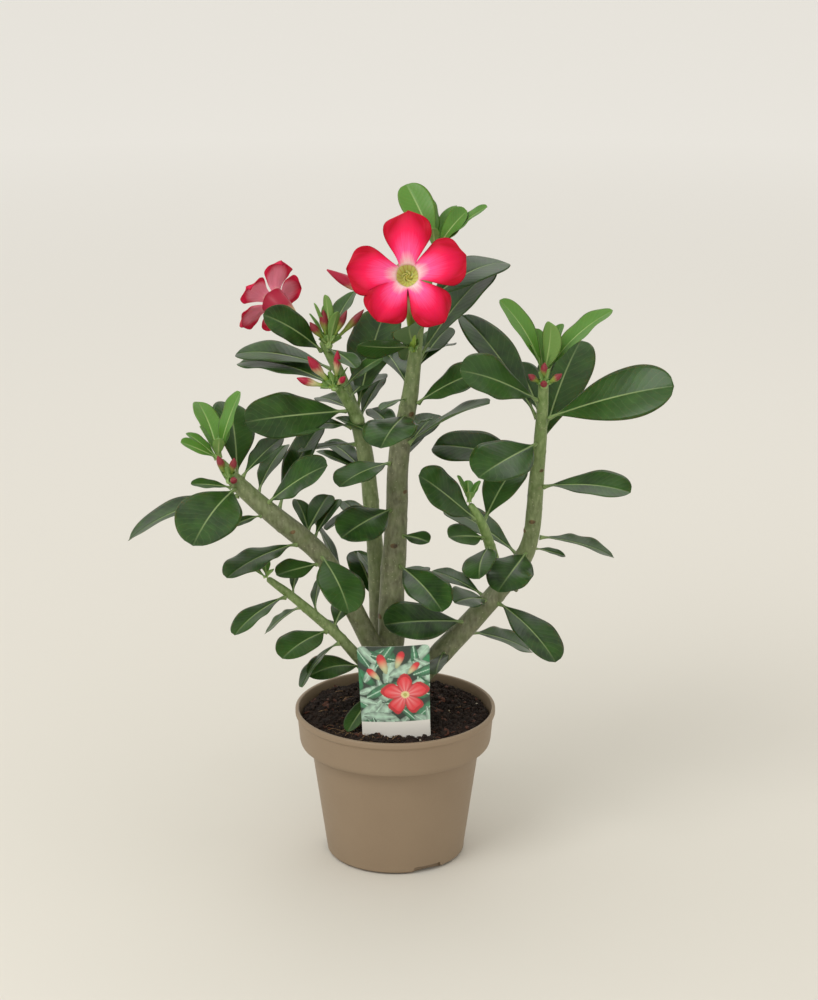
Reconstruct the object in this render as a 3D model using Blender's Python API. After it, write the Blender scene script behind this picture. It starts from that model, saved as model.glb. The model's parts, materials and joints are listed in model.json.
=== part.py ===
"""A desert rose (adenium) in a round nursery pot, with its soil, its plant label, its stems, leaves,
buds and two flowers. Metres, +Z up, the origin at the centre of the pot's underside, front towards -Y."""

from math import cos, degrees, pi, radians, sin

import bmesh
import bpy
from mathutils import Matrix, Vector

MM = 0.001
GAP = 0.3 * MM  # between two pieces that touch

# pot
POT_RIM_R = 75 * MM
POT_HEIGHT = 115 * MM
POT_FOOT_R = 54 * MM
POT_STEP_R = 63.5 * MM  # the body's radius just below the collar
POT_COLLAR = 27 * MM  # height of the stacking collar
POT_WALL = 1.6 * MM
POT_FLOOR = 2.0 * MM
POT_SIDES = 40
NOTCHES = 3
NOTCH_WIDTH = 25 * MM
NOTCH_HEIGHT = 5 * MM
NOTCH_TURN = -62  # degrees, where the first notch stands
DRAIN_HOLES = 6
DRAIN_HOLE_R = 4 * MM
DRAIN_RING_R = 30 * MM
DRAIN_TURN = 20  # degrees, where the first hole stands

# soil
SOIL_TOP = 108 * MM
SOIL_MOUND = 3 * MM

# plant label
LABEL_WIDTH = 53 * MM
LABEL_FOOT_WIDTH = 50 * MM
LABEL_TOP = 178 * MM
LABEL_BOTTOM = 66 * MM
LABEL_THICKNESS = 0.8 * MM
LABEL_BOW = 3 * MM
LABEL_X = 1.5 * MM
LABEL_Y = -50 * MM
LABEL_LEAN = 1.0 * MM
LABEL_TURN = -2  # degrees in its own plane

STEM_SIDES = 10
LEAF_STATIONS = (0.07, 0.2, 0.38, 0.56, 0.72, 0.87, 0.965)
BLADE_SKEW = 1.75  # above 1 puts the widest place past the middle
BLADE_FULLNESS = 0.7  # below 1 rounds the blade's ends
PETIOLE_R = 1.3 * MM
LEAF_THICKNESS = 1.3 * MM
LEAF_FOLD = 0.16  # how far the blade's edges rise, as a share of the half width

# colour (linear), roughness of each finish
FINISHES = {
    "pot_plastic": ((0.26, 0.19, 0.13), 0.55),
    "peat": ((0.02, 0.013, 0.009), 0.95),
    "label_plastic": ((0.8, 0.8, 0.78), 0.35),
    "stem_bark": ((0.17, 0.2, 0.11), 0.6),
    "leaf_green": ((0.02, 0.06, 0.02), 0.35),
    "young_leaf": ((0.16, 0.32, 0.06), 0.45),
    "petal_red": ((0.62, 0.02, 0.06), 0.5),
    "bud_green": ((0.3, 0.36, 0.1), 0.5),
}

# Each stem is a route of points in millimetres from the pot's centre, with the stem's radius there.
STEMS = {
    "main_stem": (
        (0, 0, 138, 10.5), (-2, 0, 166, 9.8), (-3, 0, 190, 9.4), (-1, 0, 230, 8.7), (2, 1, 272, 7.8),
        (2, 2, 314, 7.6), (7, 3, 333, 6.8), (11, 4, 350, 5.8), (15, 6, 387, 4.9), (17, 8, 410, 4.4),
        (22, 10, 436, 3.9), (29, 12, 458, 3.6),
    ),
    "second_stem": (
        (-8, 10, 128, 8.6), (-11, 17, 161, 7.5), (-13, 21, 192, 6.8), (-14, 24, 224, 6.2),
        (-18, 26, 264, 5.7), (-20, 26, 292, 5.8), (-25, 24, 320, 5.7), (-30, 19, 340, 4.9),
        (-38, 12, 356, 4.2), (-47, 6, 363, 3.6),
    ),
    "upper_shoot": ((-30, 26, 336, 4.2), (-37, 28, 356, 4.2), (-45, 26, 376, 3.8), (-54, 22, 390, 3.3)),
    "left_branch": (
        (-8, -4, 130, 8.0), (-13, -8, 158, 7.5), (-20, -10, 172, 7.1), (-32, -14, 201, 6.7),
        (-52, -19, 240, 6.6), (-70, -24, 258, 6.5), (-94, -29, 279, 6.1), (-113, -32, 299, 5.4),
        (-127, -35, 316, 4.4),
    ),
    "low_left_branch": (
        (-8, -12, 130, 4.8), (-16, -21, 149, 4.2), (-27, -28, 164, 3.8), (-44, -36, 187, 3.5),
        (-59, -40, 202, 3.3), (-78, -45, 221, 2.9), (-93, -47, 232, 2.3),
    ),
    "right_branch": (
        (6, -2, 124, 8.2), (17, 0, 138, 7.9), (32, 4, 154, 7.5), (56, 10, 176, 7.1), (77, 14, 202, 6.9),
        (93, 15, 220, 6.5), (101, 13, 240, 6.0), (103, 8, 279, 5.6), (105, 4, 306, 4.8), (106, 0, 331, 4.5),
        (107, -5, 356, 4.1), (107, -7, 371, 3.9),
    ),
    "inner_shoot": (
        (87, 13, 210, 4.4), (78, 4, 216, 4.3), (72, -7, 235, 4.0), (66, -18, 258, 3.6), (59, -22, 273, 2.9),
        (54, -24, 281, 2.4),
    ),
}

# A stem that forks, and the shoot that grew with it.
FORKS = {"second_stem": "upper_shoot"}

# A stem starts inside the pieces named here and is trimmed to sit on them.
GROWS_FROM = {
    "main_stem": ("caudex",),
    "second_stem": ("caudex", "main_stem"),
    "left_branch": ("caudex", "main_stem", "second_stem"),
    "low_left_branch": ("caudex", "main_stem", "left_branch"),
    "right_branch": ("caudex", "main_stem"),
    "inner_shoot": ("right_branch",),
}

# Each leaf: share of the stem's length where it grows, heading (0 is +X, 90 is +Y), rise above level,
# length and width in mm, droop (how far it arcs over) and roll about its own line, in degrees.
LEAVES = {
    "main_stem": (
        (0.88, 40, 15, 81, 37, 35, -15), (0.76, 45, 35, 92, 40, 25, 0), (0.66, -25, 30, 60, 30, 20, -40),
        (0.57, -30, 30, 77, 31, 15, -10), (0.63, -105, -5, 67, 40, 25, 0), (0.52, -130, -5, 57, 29, 20, 10),
        (0.41, -125, -5, 62, 35, 25, 25), (0.28, -60, -15, 64, 34, 20, -10),
    ),
    "second_stem": (
        (0.86, 70, 45, 88, 40, 15, 0), (0.98, 150, 5, 81, 37, 30, 10), (0.88, -150, 2, 84, 38, 15, 45),
        (0.82, -145, 5, 69, 33, 25, 15),
    ),
    "upper_shoot": ((0.9, -150, 35, 58, 28, 20, 60), (0.6, 165, 5, 75, 36, 30, 10)),
    "right_branch": (
        (0.76, 150, 0, 83, 35, 20, 30), (0.48, 145, 20, 69, 31, 20, 5), (0.51, -112, -10, 62, 34, 25, 15),
        (0.25, -145, 10, 73, 37, 20, 35), (0.35, -55, -20, 75, 34, 25, 0), (0.55, 15, -20, 62, 26, 15, -5),
        (0.7, -30, 5, 71, 31, 15, -20), (0.82, -125, -5, 77, 42, 20, 25), (0.94, -145, 25, 77, 36, 15, 50),
        (0.88, 135, 40, 100, 35, 20, 5), (0.8, 65, 40, 98, 42, 15, -10), (0.89, -25, 20, 102, 43, 25, -50),
    ),
    "inner_shoot": (
        (0.86, -145, 40, 66, 34, 15, 60), (0.78, 60, 30, 60, 32, 15, -5),
        (0.57, -100, -10, 48, 28, 25, -20),
    ),
    "left_branch": (
        (0.9, -110, -15, 77, 47, 25, 15), (0.87, 170, -25, 92, 37, 25, 10),
        (0.91, 100, 35, 71, 35, 20, -25),
        (0.74, 55, 45, 73, 31, 15, 15), (0.79, -35, 35, 66, 32, 20, -50), (0.54, -70, -20, 66, 35, 25, 0),
        (0.63, -135, -8, 69, 31, 20, 5),
    ),
    "low_left_branch": ((0.86, -130, -15, 56, 22, 20, 0), (0.56, -125, -5, 54, 30, 20, 10)),
}

# Young leaves at a stem's tip: heading, rise, length, width, droop, roll.
TIP_LEAVES = {
    "main_stem": (
        (120, 45, 60, 20, 20, -10), (110, 50, 48, 14, 15, -30), (60, 45, 38, 12, 15, 20),
        (-35, 50, 38, 14, 15, -60), (-35, 40, 56, 12, 15, -40), (50, 25, 38, 16, 15, 10),
    ),
    "right_branch": (
        (180, 60, 64, 20, 25, 35), (0, 45, 68, 22, 25, -20), (-75, 70, 44, 18, 15, 60),
        (55, 55, 40, 14, 15, 25),
    ),
    "left_branch": (
        (115, 40, 50, 18, 20, -10), (-25, 70, 54, 17, 15, -55),
        (-145, 30, 34, 12, 15, 35), (150, 30, 30, 12, 15, 0),
    ),
    "low_left_branch": ((100, 35, 16, 7, 15, 0), (-140, 40, 16, 7, 15, 30), (170, 30, 17, 7, 15, 0)),
    "inner_shoot": ((160, 65, 20, 8, 10, 0), (30, 60, 16, 7, 10, 0), (95, 50, 16, 7, 10, 0)),
}

# Bud clusters: the stem, the share of its length and the heading where they spring, and each bud's
# heading, rise, length and greatest radius.
BUDS = {
    "lower_bud_cluster": ("second_stem", 0.98, -120, (
        (-150, 50, 33, 4.0), (-175, 15, 28, 3.4), (-70, 75, 30, 3.0), (-60, 35, 20, 2.6),
    )),
    "upper_bud_cluster": ("upper_shoot", 0.98, -100, (
        (-120, 75, 28, 3.8), (-150, 50, 24, 3.2), (-20, 62, 30, 3.0), (5, 45, 36, 3.0),
    )),
    "right_bud_cluster": ("right_branch", 0.99, -90, (
        (-90, 75, 18, 3.0), (-160, 35, 15, 2.8), (-20, 35, 16, 2.8), (-95, 20, 12, 2.8),
    )),
    "left_bud_cluster": ("left_branch", 0.94, -90, (
        (-150, 65, 21, 3.0), (-60, 65, 20, 3.0), (-70, 15, 15, 2.8),
    )),
    "crown_bud": ("main_stem", 0.87, 184, ((186, 26, 66, 4.8),)),
}
STALK_R = 3.0 * MM

# Flowers: the stem, share and heading where its stalk springs, the throat's centre in mm, the way the
# flower faces, its petals' reach in mm and the turn of its first petal.
FLOWERS = {
    "front_flower": (("main_stem", 0.78, -110), (9, -40, 453), (-0.03, -0.93, 0.3), 45, 88),
    "back_flower": (("upper_shoot", 1.0, 160), (-90, 37, 418), (-0.8, 0.5, 0.33), 38, 80),
}
PETALS = 5
THROAT_R = 10 * MM
TUBE_FOOT_R = 3 * MM
PETAL_THICKNESS = 0.9 * MM


def material(name):
    found = bpy.data.materials.get(name)
    if found:
        return found
    colour, roughness = FINISHES[name]
    made = bpy.data.materials.new(name)
    made.use_nodes = True
    shader = made.node_tree.nodes["Principled BSDF"]
    shader.inputs["Base Color"].default_value = (*colour, 1)
    shader.inputs["Roughness"].default_value = roughness
    shader.inputs["Metallic"].default_value = 0
    return made


def add_object(name, mesh, finish):
    made = bpy.data.objects.new(name, mesh)
    bpy.context.scene.collection.objects.link(made)
    mesh.materials.clear()
    mesh.materials.append(material(finish))
    return made


def mesh_from(name, points, faces):
    """A mesh with its faces turned outwards."""
    mesh = bpy.data.meshes.new(name)
    work = bmesh.new()
    verts = [work.verts.new(p) for p in points]
    for face in faces:
        work.faces.new([verts[i] for i in face])
    bmesh.ops.recalc_face_normals(work, faces=work.faces)
    work.to_mesh(mesh)
    work.free()
    mesh.shade_smooth()
    return mesh


def loft(name, rings, start=None, end=None):
    """Joins rings of equal count; each end closes on a point, or on the ring's centre."""
    count = len(rings[0])
    points = [p for ring in rings for p in ring]
    faces = []
    for i in range(len(rings) - 1):
        for k in range(count):
            a, b = i * count + k, i * count + (k + 1) % count
            faces.append((a, b, b + count, a + count))
    for ring_start, tip in ((0, start), (len(points) - count, end)):
        ring = points[ring_start:ring_start + count]
        points.append(tip if tip is not None else sum(ring, Vector()) / count)
        top = len(points) - 1
        faces += [(ring_start + k, ring_start + (k + 1) % count, top) for k in range(count)]
    return mesh_from(name, points, faces)


def smooth_route(route, steps=2):
    """Points in metres with radii on a smooth curve through the route's own points."""
    nodes = [Vector(p[:3]) * MM for p in route]
    radii = [p[3] * MM for p in route]
    out = []
    for i in range(len(nodes) - 1):
        before, after = nodes[max(i - 1, 0)], nodes[min(i + 2, len(nodes) - 1)]
        for k in range(steps):
            t = k / steps
            a = (nodes[i + 1] - before) / 2
            b = (after - nodes[i]) / 2
            point = (
                nodes[i] * (2 * t**3 - 3 * t**2 + 1) + a * (t**3 - 2 * t**2 + t)
                + nodes[i + 1] * (3 * t**2 - 2 * t**3) + b * (t**3 - t**2)
            )
            out.append((point, radii[i] * (1 - t) + radii[i + 1] * t))
    out.append((nodes[-1], radii[-1]))
    return out


def ring(centre, normal, radius, sides):
    side = Vector((0, 1, 0)) if abs(normal.y) < 0.9 else Vector((0, 0, 1))
    across = normal.cross(side).normalized()
    other = normal.cross(across)
    turns = [2 * pi * k / sides for k in range(sides)]
    return [centre + (across * cos(a) + other * sin(a)) * radius for a in turns]


def tube_mesh(name, samples, sides=STEM_SIDES, grow=0.0):
    rings = []
    for i, (point, radius) in enumerate(samples):
        along = (samples[min(i + 1, len(samples) - 1)][0] - samples[max(i - 1, 0)][0]).normalized()
        rings.append(ring(point, along, radius + grow, sides))
    return loft(name, rings)


def on_route(samples, share):
    """The point, direction and radius at a share of a stem's length."""
    lengths = [0.0]
    for (a, _), (b, _) in zip(samples, samples[1:]):
        lengths.append(lengths[-1] + (b - a).length)
    goal = share * lengths[-1]
    for i in range(len(samples) - 1):
        if lengths[i + 1] >= goal - 1e-9:
            t = (goal - lengths[i]) / (lengths[i + 1] - lengths[i])
            (a, ra), (b, rb) = samples[i], samples[i + 1]
            return a.lerp(b, t), (b - a).normalized(), ra * (1 - t) + rb * t
    return samples[-1][0], (samples[-1][0] - samples[-2][0]).normalized(), samples[-1][1]


def heading_vector(heading, rise):
    heading, rise = radians(heading), radians(rise)
    return Vector((cos(rise) * cos(heading), cos(rise) * sin(heading), sin(rise)))


def cut(target, cutter):
    cutter.hide_render = True
    cutter.display_type = "WIRE"
    boolean = target.modifiers.new("cut", "BOOLEAN")
    boolean.operation = "DIFFERENCE"
    boolean.solver = "EXACT"
    boolean.object = cutter


def join(target, extra):
    extra.hide_render = True
    extra.display_type = "WIRE"
    boolean = target.modifiers.new("join", "BOOLEAN")
    boolean.operation = "UNION"
    boolean.solver = "EXACT"
    boolean.object = extra


def pot_radius(z):
    """The body's outer radius below the collar."""
    share = z / (POT_HEIGHT - POT_COLLAR)
    return POT_FOOT_R + share * (POT_STEP_R - POT_FOOT_R)


def build_pot():
    collar_z = POT_HEIGHT - POT_COLLAR
    outline = [
        (DRAIN_HOLE_R, 0), (POT_FOOT_R - 4 * MM, 0),
        (POT_FOOT_R - 1.2 * MM, 1.2 * MM), (POT_FOOT_R, 4 * MM),
        (pot_radius(collar_z - 2 * MM), collar_z - 2 * MM), (71.3 * MM, collar_z + 0.5 * MM),
        (72.2 * MM, collar_z + 2 * MM), (74 * MM, POT_HEIGHT - 4 * MM), (POT_RIM_R, POT_HEIGHT - 3 * MM),
        (POT_RIM_R, POT_HEIGHT - 0.6 * MM), (POT_RIM_R - 0.6 * MM, POT_HEIGHT),
        (POT_RIM_R - 2.2 * MM, POT_HEIGHT),
        (72 * MM, POT_HEIGHT - 2 * MM), (70.4 * MM, collar_z + 3 * MM),
        (pot_radius(collar_z) - POT_WALL, collar_z - 1 * MM), (pot_radius(4 * MM) - POT_WALL, 5 * MM),
        (POT_FOOT_R - 5 * MM, POT_FLOOR), (DRAIN_HOLE_R, POT_FLOOR),
    ]
    rings = [
        [Vector((r * cos(a), r * sin(a), z)) for a in (2 * pi * k / POT_SIDES for k in range(POT_SIDES))]
        for r, z in outline
    ]
    pot = add_object("pot", loft("pot", rings), "pot_plastic")
    for k in range(NOTCHES):
        angle = radians(NOTCH_TURN + 360 * k / NOTCHES)
        half = NOTCH_WIDTH / 2
        base = [Vector((POT_FOOT_R - 4.5 * MM, y, -MM)) for y in (-half, half)]
        corners = base + [Vector((POT_FOOT_R + 4 * MM, y, -MM)) for y in (half, -half)]
        tops = [Vector((c.x, c.y * 0.86, NOTCH_HEIGHT)) for c in corners]
        box = [Matrix.Rotation(angle, 3, "Z") @ c for c in corners + tops]
        faces = [(0, 1, 2, 3), (4, 5, 6, 7)] + [(i, (i + 1) % 4, 4 + (i + 1) % 4, 4 + i) for i in range(4)]
        cut(pot, add_object(f"notch_cutter_{k}", mesh_from("notch", box, faces), "pot_plastic"))
    for k in range(DRAIN_HOLES):
        angle = 2 * pi * k / DRAIN_HOLES + radians(DRAIN_TURN)
        centre = Vector((cos(angle) * DRAIN_RING_R, sin(angle) * DRAIN_RING_R, -MM))
        ends = (centre, centre + Vector((0, 0, POT_FLOOR + 2 * MM)))
        rings = [ring(end, Vector((0, 0, 1)), DRAIN_HOLE_R, 12) for end in ends]
        cut(pot, add_object(f"drain_cutter_{k}", loft("drain", rings), "pot_plastic"))


def caudex_mesh(grow=0.0):
    """The swollen base that the stems grow from, with its underground neck."""
    profile = ((68, 9), (76, 14), (88, 20), (100, 23.5), (112, 22.5), (124, 18.5), (134, 14), (141, 9))
    rings = []
    for z, radius in profile:
        level = []
        for k in range(20):
            angle = 2 * pi * k / 20
            lobes = 1 + 0.05 * cos(3 * angle + 0.6)
            r = radius * MM * lobes + grow
            level.append(Vector((r * cos(angle), r * sin(angle), z * MM)))
        rings.append(level)
    return loft("caudex", rings, Vector((0, 0, 66 * MM - grow)), Vector((0, 0, 143 * MM + grow)))


def label_mesh(grow=0.0):
    """A bowed board whose foot narrows to a point in the soil."""
    levels = (
        (LABEL_TOP, 0.90), (LABEL_TOP - 3 * MM, 1.0), (0.66 * LABEL_TOP + 0.34 * LABEL_BOTTOM, 1.0),
        (101 * MM, LABEL_FOOT_WIDTH / LABEL_WIDTH), (88 * MM, 0.8), (LABEL_BOTTOM, 0.12),
    )
    columns = 8
    front, back = [], []
    for z, share in levels:
        half = LABEL_WIDTH / 2 * share + grow
        level_front, level_back = [], []
        for k in range(columns + 1):
            u = 2 * k / columns - 1
            x = half * u
            y = LABEL_Y + LABEL_BOW * (x / (LABEL_WIDTH / 2)) ** 2 + LABEL_LEAN * (z - 101 * MM) / (70 * MM)
            turn = radians(LABEL_TURN)
            height = z - 101 * MM
            height += grow if z == LABEL_TOP else (-grow if z == LABEL_BOTTOM else 0)
            across = LABEL_X + x * cos(turn) + height * sin(turn)
            place = Vector((across, y, 101 * MM - x * sin(turn) + height * cos(turn)))
            level_front.append(place - Vector((0, LABEL_THICKNESS / 2 + grow, 0)))
            level_back.append(place + Vector((0, LABEL_THICKNESS / 2 + grow, 0)))
        front.append(level_front)
        back.append(level_back)
    points, faces = [], []
    width = columns + 1
    for grid in (front, back):
        points += [p for level in grid for p in level]
    offset = len(front) * width
    for i in range(len(levels) - 1):
        for k in range(columns):
            a = i * width + k
            faces.append((a, a + 1, a + width + 1, a + width))
            faces.append((offset + a, offset + a + width, offset + a + width + 1, offset + a + 1))
    edge = [k for k in range(width)] + [i * width + columns for i in range(1, len(levels))]
    edge += [(len(levels) - 1) * width + k for k in range(columns - 1, -1, -1)]
    edge += [i * width for i in range(len(levels) - 2, 0, -1)]
    for a, b in zip(edge, edge[1:] + edge[:1]):
        faces.append((a, b, offset + b, offset + a))
    return mesh_from("plant_label", points, faces)


def build_soil():
    """The peat fills the pot to just below its rim, a little higher at the back left."""
    below = POT_WALL + 0.5 * MM
    collar_z = POT_HEIGHT - POT_COLLAR
    side = [
        (pot_radius(3 * MM) * 0.6, 3 * MM), (pot_radius(6 * MM) - below, 6 * MM),
        (pot_radius(60 * MM) - below, 60 * MM), (pot_radius(collar_z) - below, collar_z - 0.5 * MM),
        (69.2 * MM, collar_z + 6 * MM),
    ]
    rings = [
        [Vector((radius * cos(a), radius * sin(a), z)) for a in (2 * pi * k / 32 for k in range(32))]
        for radius, z in side
    ]
    for radius in (69.5, 60, 48, 34, 20, 8):
        level = []
        for k in range(32):
            a = 2 * pi * k / 32
            rise = SOIL_MOUND * (1 - (radius / 70) ** 2) * (0.8 + 0.5 * cos(a - radians(130)))
            dip = -2 * MM if radius == 69.5 else 0
            wave = 0.8 * MM * sin(5 * a + radius)
            level.append(Vector((radius * MM * cos(a), radius * MM * sin(a), SOIL_TOP + rise + wave + dip)))
        rings.append(level)
    soil = add_object("soil", loft("soil", rings), "peat")
    cut(soil, add_object("caudex_cutter", caudex_mesh(GAP), "peat"))
    cut(soil, add_object("label_cutter", label_mesh(GAP), "peat"))


def leaf_width(t, width, petiole):
    """Half width of an obovate blade at a share of its length."""
    peak = t ** BLADE_SKEW
    return max(petiole * (1 - 0.3 * t), width / 2 * max(sin(pi * peak), 0) ** BLADE_FULLNESS)


def leaf_mesh(name, base, heading, rise, length, width, droop, roll, thin=1.0):
    """One closed blade on a short stalk. It starts at base and arcs over by droop."""
    along = heading_vector(heading, rise)
    across = along.cross(Vector((0, 0, 1))).normalized()
    up = across.cross(along)
    roll = radians(roll)
    across, up = across * cos(roll) + up * sin(roll), up * cos(roll) - across * sin(roll)
    length, width, bend = length * MM, width * MM, radians(droop)
    petiole = min(PETIOLE_R, 0.08 * width)
    place, last, rings = base.copy(), 0.0, []
    for t in LEAF_STATIONS:
        angle = bend * (0.5 - (last + t) / 2)
        place = place + (along * cos(angle) + up * sin(angle)) * (t - last) * length
        last = t
        slope = bend * (0.5 - t)
        normal = up * cos(slope) - along * sin(slope)
        half = leaf_width(t, width, petiole)
        thick = LEAF_THICKNESS * thin * (0.5 + 0.5 * (1 - t)) + 2 * petiole * max(0, 1 - t / 0.15) * 0.6
        lift = LEAF_FOLD * half
        rings.append([
            place + across * half + normal * lift,
            place + across * half * 0.5 + normal * (lift * 0.35 + thick * 0.42),
            place + normal * thick * 0.4,
            place - across * half * 0.5 + normal * (lift * 0.35 + thick * 0.42),
            place - across * half + normal * lift,
            place - normal * thick * 0.6,
        ])
    angle = bend * (0.5 - (last + 1) / 2)
    tip = place + (along * cos(angle) + up * sin(angle)) * (1 - last) * length
    return loft(name, rings, base, tip)


def beside(samples, share, heading, rise, clear):
    """A point that stands off a stem's side by clear, towards a heading."""
    centre, direction, radius = on_route(samples, share)
    away = heading_vector(heading, rise)
    outward = (away - direction * away.dot(direction)).normalized()
    return centre + outward * (radius + clear)


def build_leaf(name, samples, share, heading, rise, length, width, droop, roll):
    base = beside(samples, share, heading, rise, GAP)
    add_object(name, leaf_mesh(name, base, heading, rise, length, width, droop, roll), "leaf_green")


def ball_mesh(centre, radius, along):
    rings = []
    for angle in (-50, -15, 20, 55):
        height, across = sin(radians(angle)) * radius, cos(radians(angle)) * radius
        rings.append(ring(centre + along * height, along, across, 8))
    return loft("knob", rings, centre - along * radius, centre + along * radius)


def build_tip(name, samples, leaves):
    """The growing point of a stem with its young leaves, grown together."""
    end, radius = samples[-1]
    along = (samples[-1][0] - samples[-2][0]).normalized()
    knob = radius * 0.95
    centre = end + along * (knob + GAP)
    tip = add_object(name, ball_mesh(centre, knob, along), "young_leaf")
    for k, (heading, rise, length, width, droop, roll) in enumerate(leaves):
        start = centre + heading_vector(heading, rise) * knob * 0.2
        mesh = leaf_mesh(f"{name}_{k}", start, heading, rise, length, width, droop, roll)
        join(tip, add_object(f"{name}_part_{k}", mesh, "young_leaf"))


def bud_mesh(name, base, heading, rise, length, radius):
    along = heading_vector(heading, rise)
    shape = ((0.04, 0.45), (0.3, 0.5), (0.5, 0.8), (0.68, 1.0), (0.84, 0.72), (0.94, 0.35))
    rings = [ring(base + along * t * length * MM, along, share * radius * MM, 7) for t, share in shape]
    return loft(name, rings, base, base + along * length * MM)


def build_buds(name, samples, share, heading, buds):
    """A short stalk knob on a stem's side with its buds, grown together."""
    centre = beside(samples, share, heading, 0, STALK_R + GAP)
    cluster = add_object(name, ball_mesh(centre, STALK_R, heading_vector(heading, 0)), "bud_green")
    for k, (heading, rise, length, radius) in enumerate(buds):
        mesh = bud_mesh(f"{name}_{k}", centre, heading, rise, length, radius)
        join(cluster, add_object(f"{name}_part_{k}", mesh, "bud_green"))


def flower_mesh(name, foot, throat, faces_to, reach, turn):
    """A funnel tube that opens into five broad petals, as one thin shell."""
    throat = Vector(throat) * MM
    out = Vector(faces_to).normalized()
    across = out.cross(Vector((0, 0, 1))).normalized()
    up = across.cross(out)
    columns = PETALS * 6
    front, back = [], []
    tube = [(0.0, TUBE_FOOT_R), (0.3, 4.5 * MM), (0.62, 7.5 * MM), (0.85, 9.2 * MM), (1.0, THROAT_R)]
    depth = (throat - foot).length
    for t, radius in tube:
        start = foot.lerp(throat - out * depth * 0.62, min(t * 1.6, 1))
        centre = start.lerp(throat, max(0, (t - 0.35) / 0.65)) if t > 0.35 else start
        axis = (throat - foot).normalized().lerp(out, t).normalized()
        side = axis.cross(Vector((0, 0, 1))).normalized()
        top = side.cross(axis)
        for grid, shrink in ((front, PETAL_THICKNESS), (back, 0)):
            r = radius - shrink
            turns = [2 * pi * k / columns for k in range(columns)]
            grid.append([centre + (side * cos(a) + top * sin(a)) * r for a in turns])
    for share in (0.2, 0.45, 0.7, 0.88, 1.0):
        for grid, lift in ((front, PETAL_THICKNESS / 2), (back, -PETAL_THICKNESS / 2)):
            level = []
            for k in range(columns):
                angle = 2 * pi * k / columns
                petal = ((degrees(angle) - turn) / 72 + 0.5) % 1 - 0.5
                lobe = max(cos(pi * petal), 0) ** 0.55 * 0.72 + 0.28
                r = THROAT_R + (reach * MM - THROAT_R) * share * (1 - share * (1 - lobe))
                cup = 2.5 * MM * (1 - share) * share * 4 - 1.0 * MM * share
                level.append(throat + (across * cos(angle) + up * sin(angle)) * r + out * (cup + lift))
            grid.append(level)
    points = [p for grid in (front, back) for level in grid for p in level]
    rows, faces = len(front), []
    offset = rows * columns
    for i in range(rows - 1):
        for k in range(columns):
            a, b = i * columns + k, i * columns + (k + 1) % columns
            faces.append((a, b, b + columns, a + columns))
            faces.append((offset + a, offset + a + columns, offset + b + columns, offset + b))
    for row in (0, rows - 1):
        for k in range(columns):
            a, b = row * columns + k, row * columns + (k + 1) % columns
            faces.append((a, b, offset + b, offset + a))
    return mesh_from(name, points, faces)


for old in list(bpy.data.objects):
    bpy.data.objects.remove(old, do_unlink=True)

build_pot()
build_soil()
add_object("plant_label", label_mesh(), "label_plastic")
add_object("caudex", caudex_mesh(), "stem_bark")

routes = {name: smooth_route(route) for name, route in STEMS.items()}
for name, samples in routes.items():
    if name in FORKS.values():
        continue
    stem = add_object(name, tube_mesh(name, samples), "stem_bark")
    if name in FORKS:
        join(stem, add_object(f"{name}_fork", tube_mesh(name, routes[FORKS[name]]), "stem_bark"))
    for parent in GROWS_FROM[name]:
        shape = (caudex_mesh(GAP) if parent == "caudex"
                 else tube_mesh(parent, routes[parent], STEM_SIDES, GAP))
        cut(stem, add_object(f"{name}_{parent}_cutter", shape, "stem_bark"))

for stem, leaves in LEAVES.items():
    for k, leaf in enumerate(leaves):
        build_leaf(f"{stem}_leaf_{k + 1:02d}", routes[stem], *leaf)
for stem, leaves in TIP_LEAVES.items():
    build_tip(f"{stem}_tip_leaves", routes[stem], leaves)
for name, (stem, share, heading, buds) in BUDS.items():
    build_buds(name, routes[stem], share, heading, buds)
for name, ((stem, share, heading), throat, faces_to, reach, turn) in FLOWERS.items():
    foot = beside(routes[stem], share, heading, 0, 0.75 * TUBE_FOOT_R + GAP)
    add_object(name, flower_mesh(name, foot, throat, faces_to, reach, turn), "petal_red")
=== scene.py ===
import json
from functools import partial
from math import atan2, cos, exp, hypot, pi, radians, sin, tau

import bmesh
import bpy
import numpy as np
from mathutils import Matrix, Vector, noise

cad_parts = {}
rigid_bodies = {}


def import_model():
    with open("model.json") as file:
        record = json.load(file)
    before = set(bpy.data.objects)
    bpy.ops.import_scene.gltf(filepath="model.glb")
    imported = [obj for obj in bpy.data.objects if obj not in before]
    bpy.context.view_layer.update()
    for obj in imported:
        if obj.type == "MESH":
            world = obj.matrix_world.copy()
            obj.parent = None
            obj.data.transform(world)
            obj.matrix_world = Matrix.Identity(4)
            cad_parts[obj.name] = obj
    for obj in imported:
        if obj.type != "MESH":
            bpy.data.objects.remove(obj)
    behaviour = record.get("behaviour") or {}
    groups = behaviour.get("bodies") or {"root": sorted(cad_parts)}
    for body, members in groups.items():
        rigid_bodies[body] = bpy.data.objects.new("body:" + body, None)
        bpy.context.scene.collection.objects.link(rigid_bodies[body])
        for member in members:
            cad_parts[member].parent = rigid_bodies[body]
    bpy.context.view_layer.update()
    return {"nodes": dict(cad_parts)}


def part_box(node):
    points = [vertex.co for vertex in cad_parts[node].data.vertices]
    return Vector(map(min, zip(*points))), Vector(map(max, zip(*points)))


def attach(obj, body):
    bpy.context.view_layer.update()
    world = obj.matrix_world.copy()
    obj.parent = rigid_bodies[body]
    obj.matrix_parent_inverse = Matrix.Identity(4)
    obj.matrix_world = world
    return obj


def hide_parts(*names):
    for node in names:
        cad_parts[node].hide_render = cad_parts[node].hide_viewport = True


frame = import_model()
nodes = frame["nodes"]
mm = 0.001
print("frame loaded,", len(nodes), "nodes")


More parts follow.
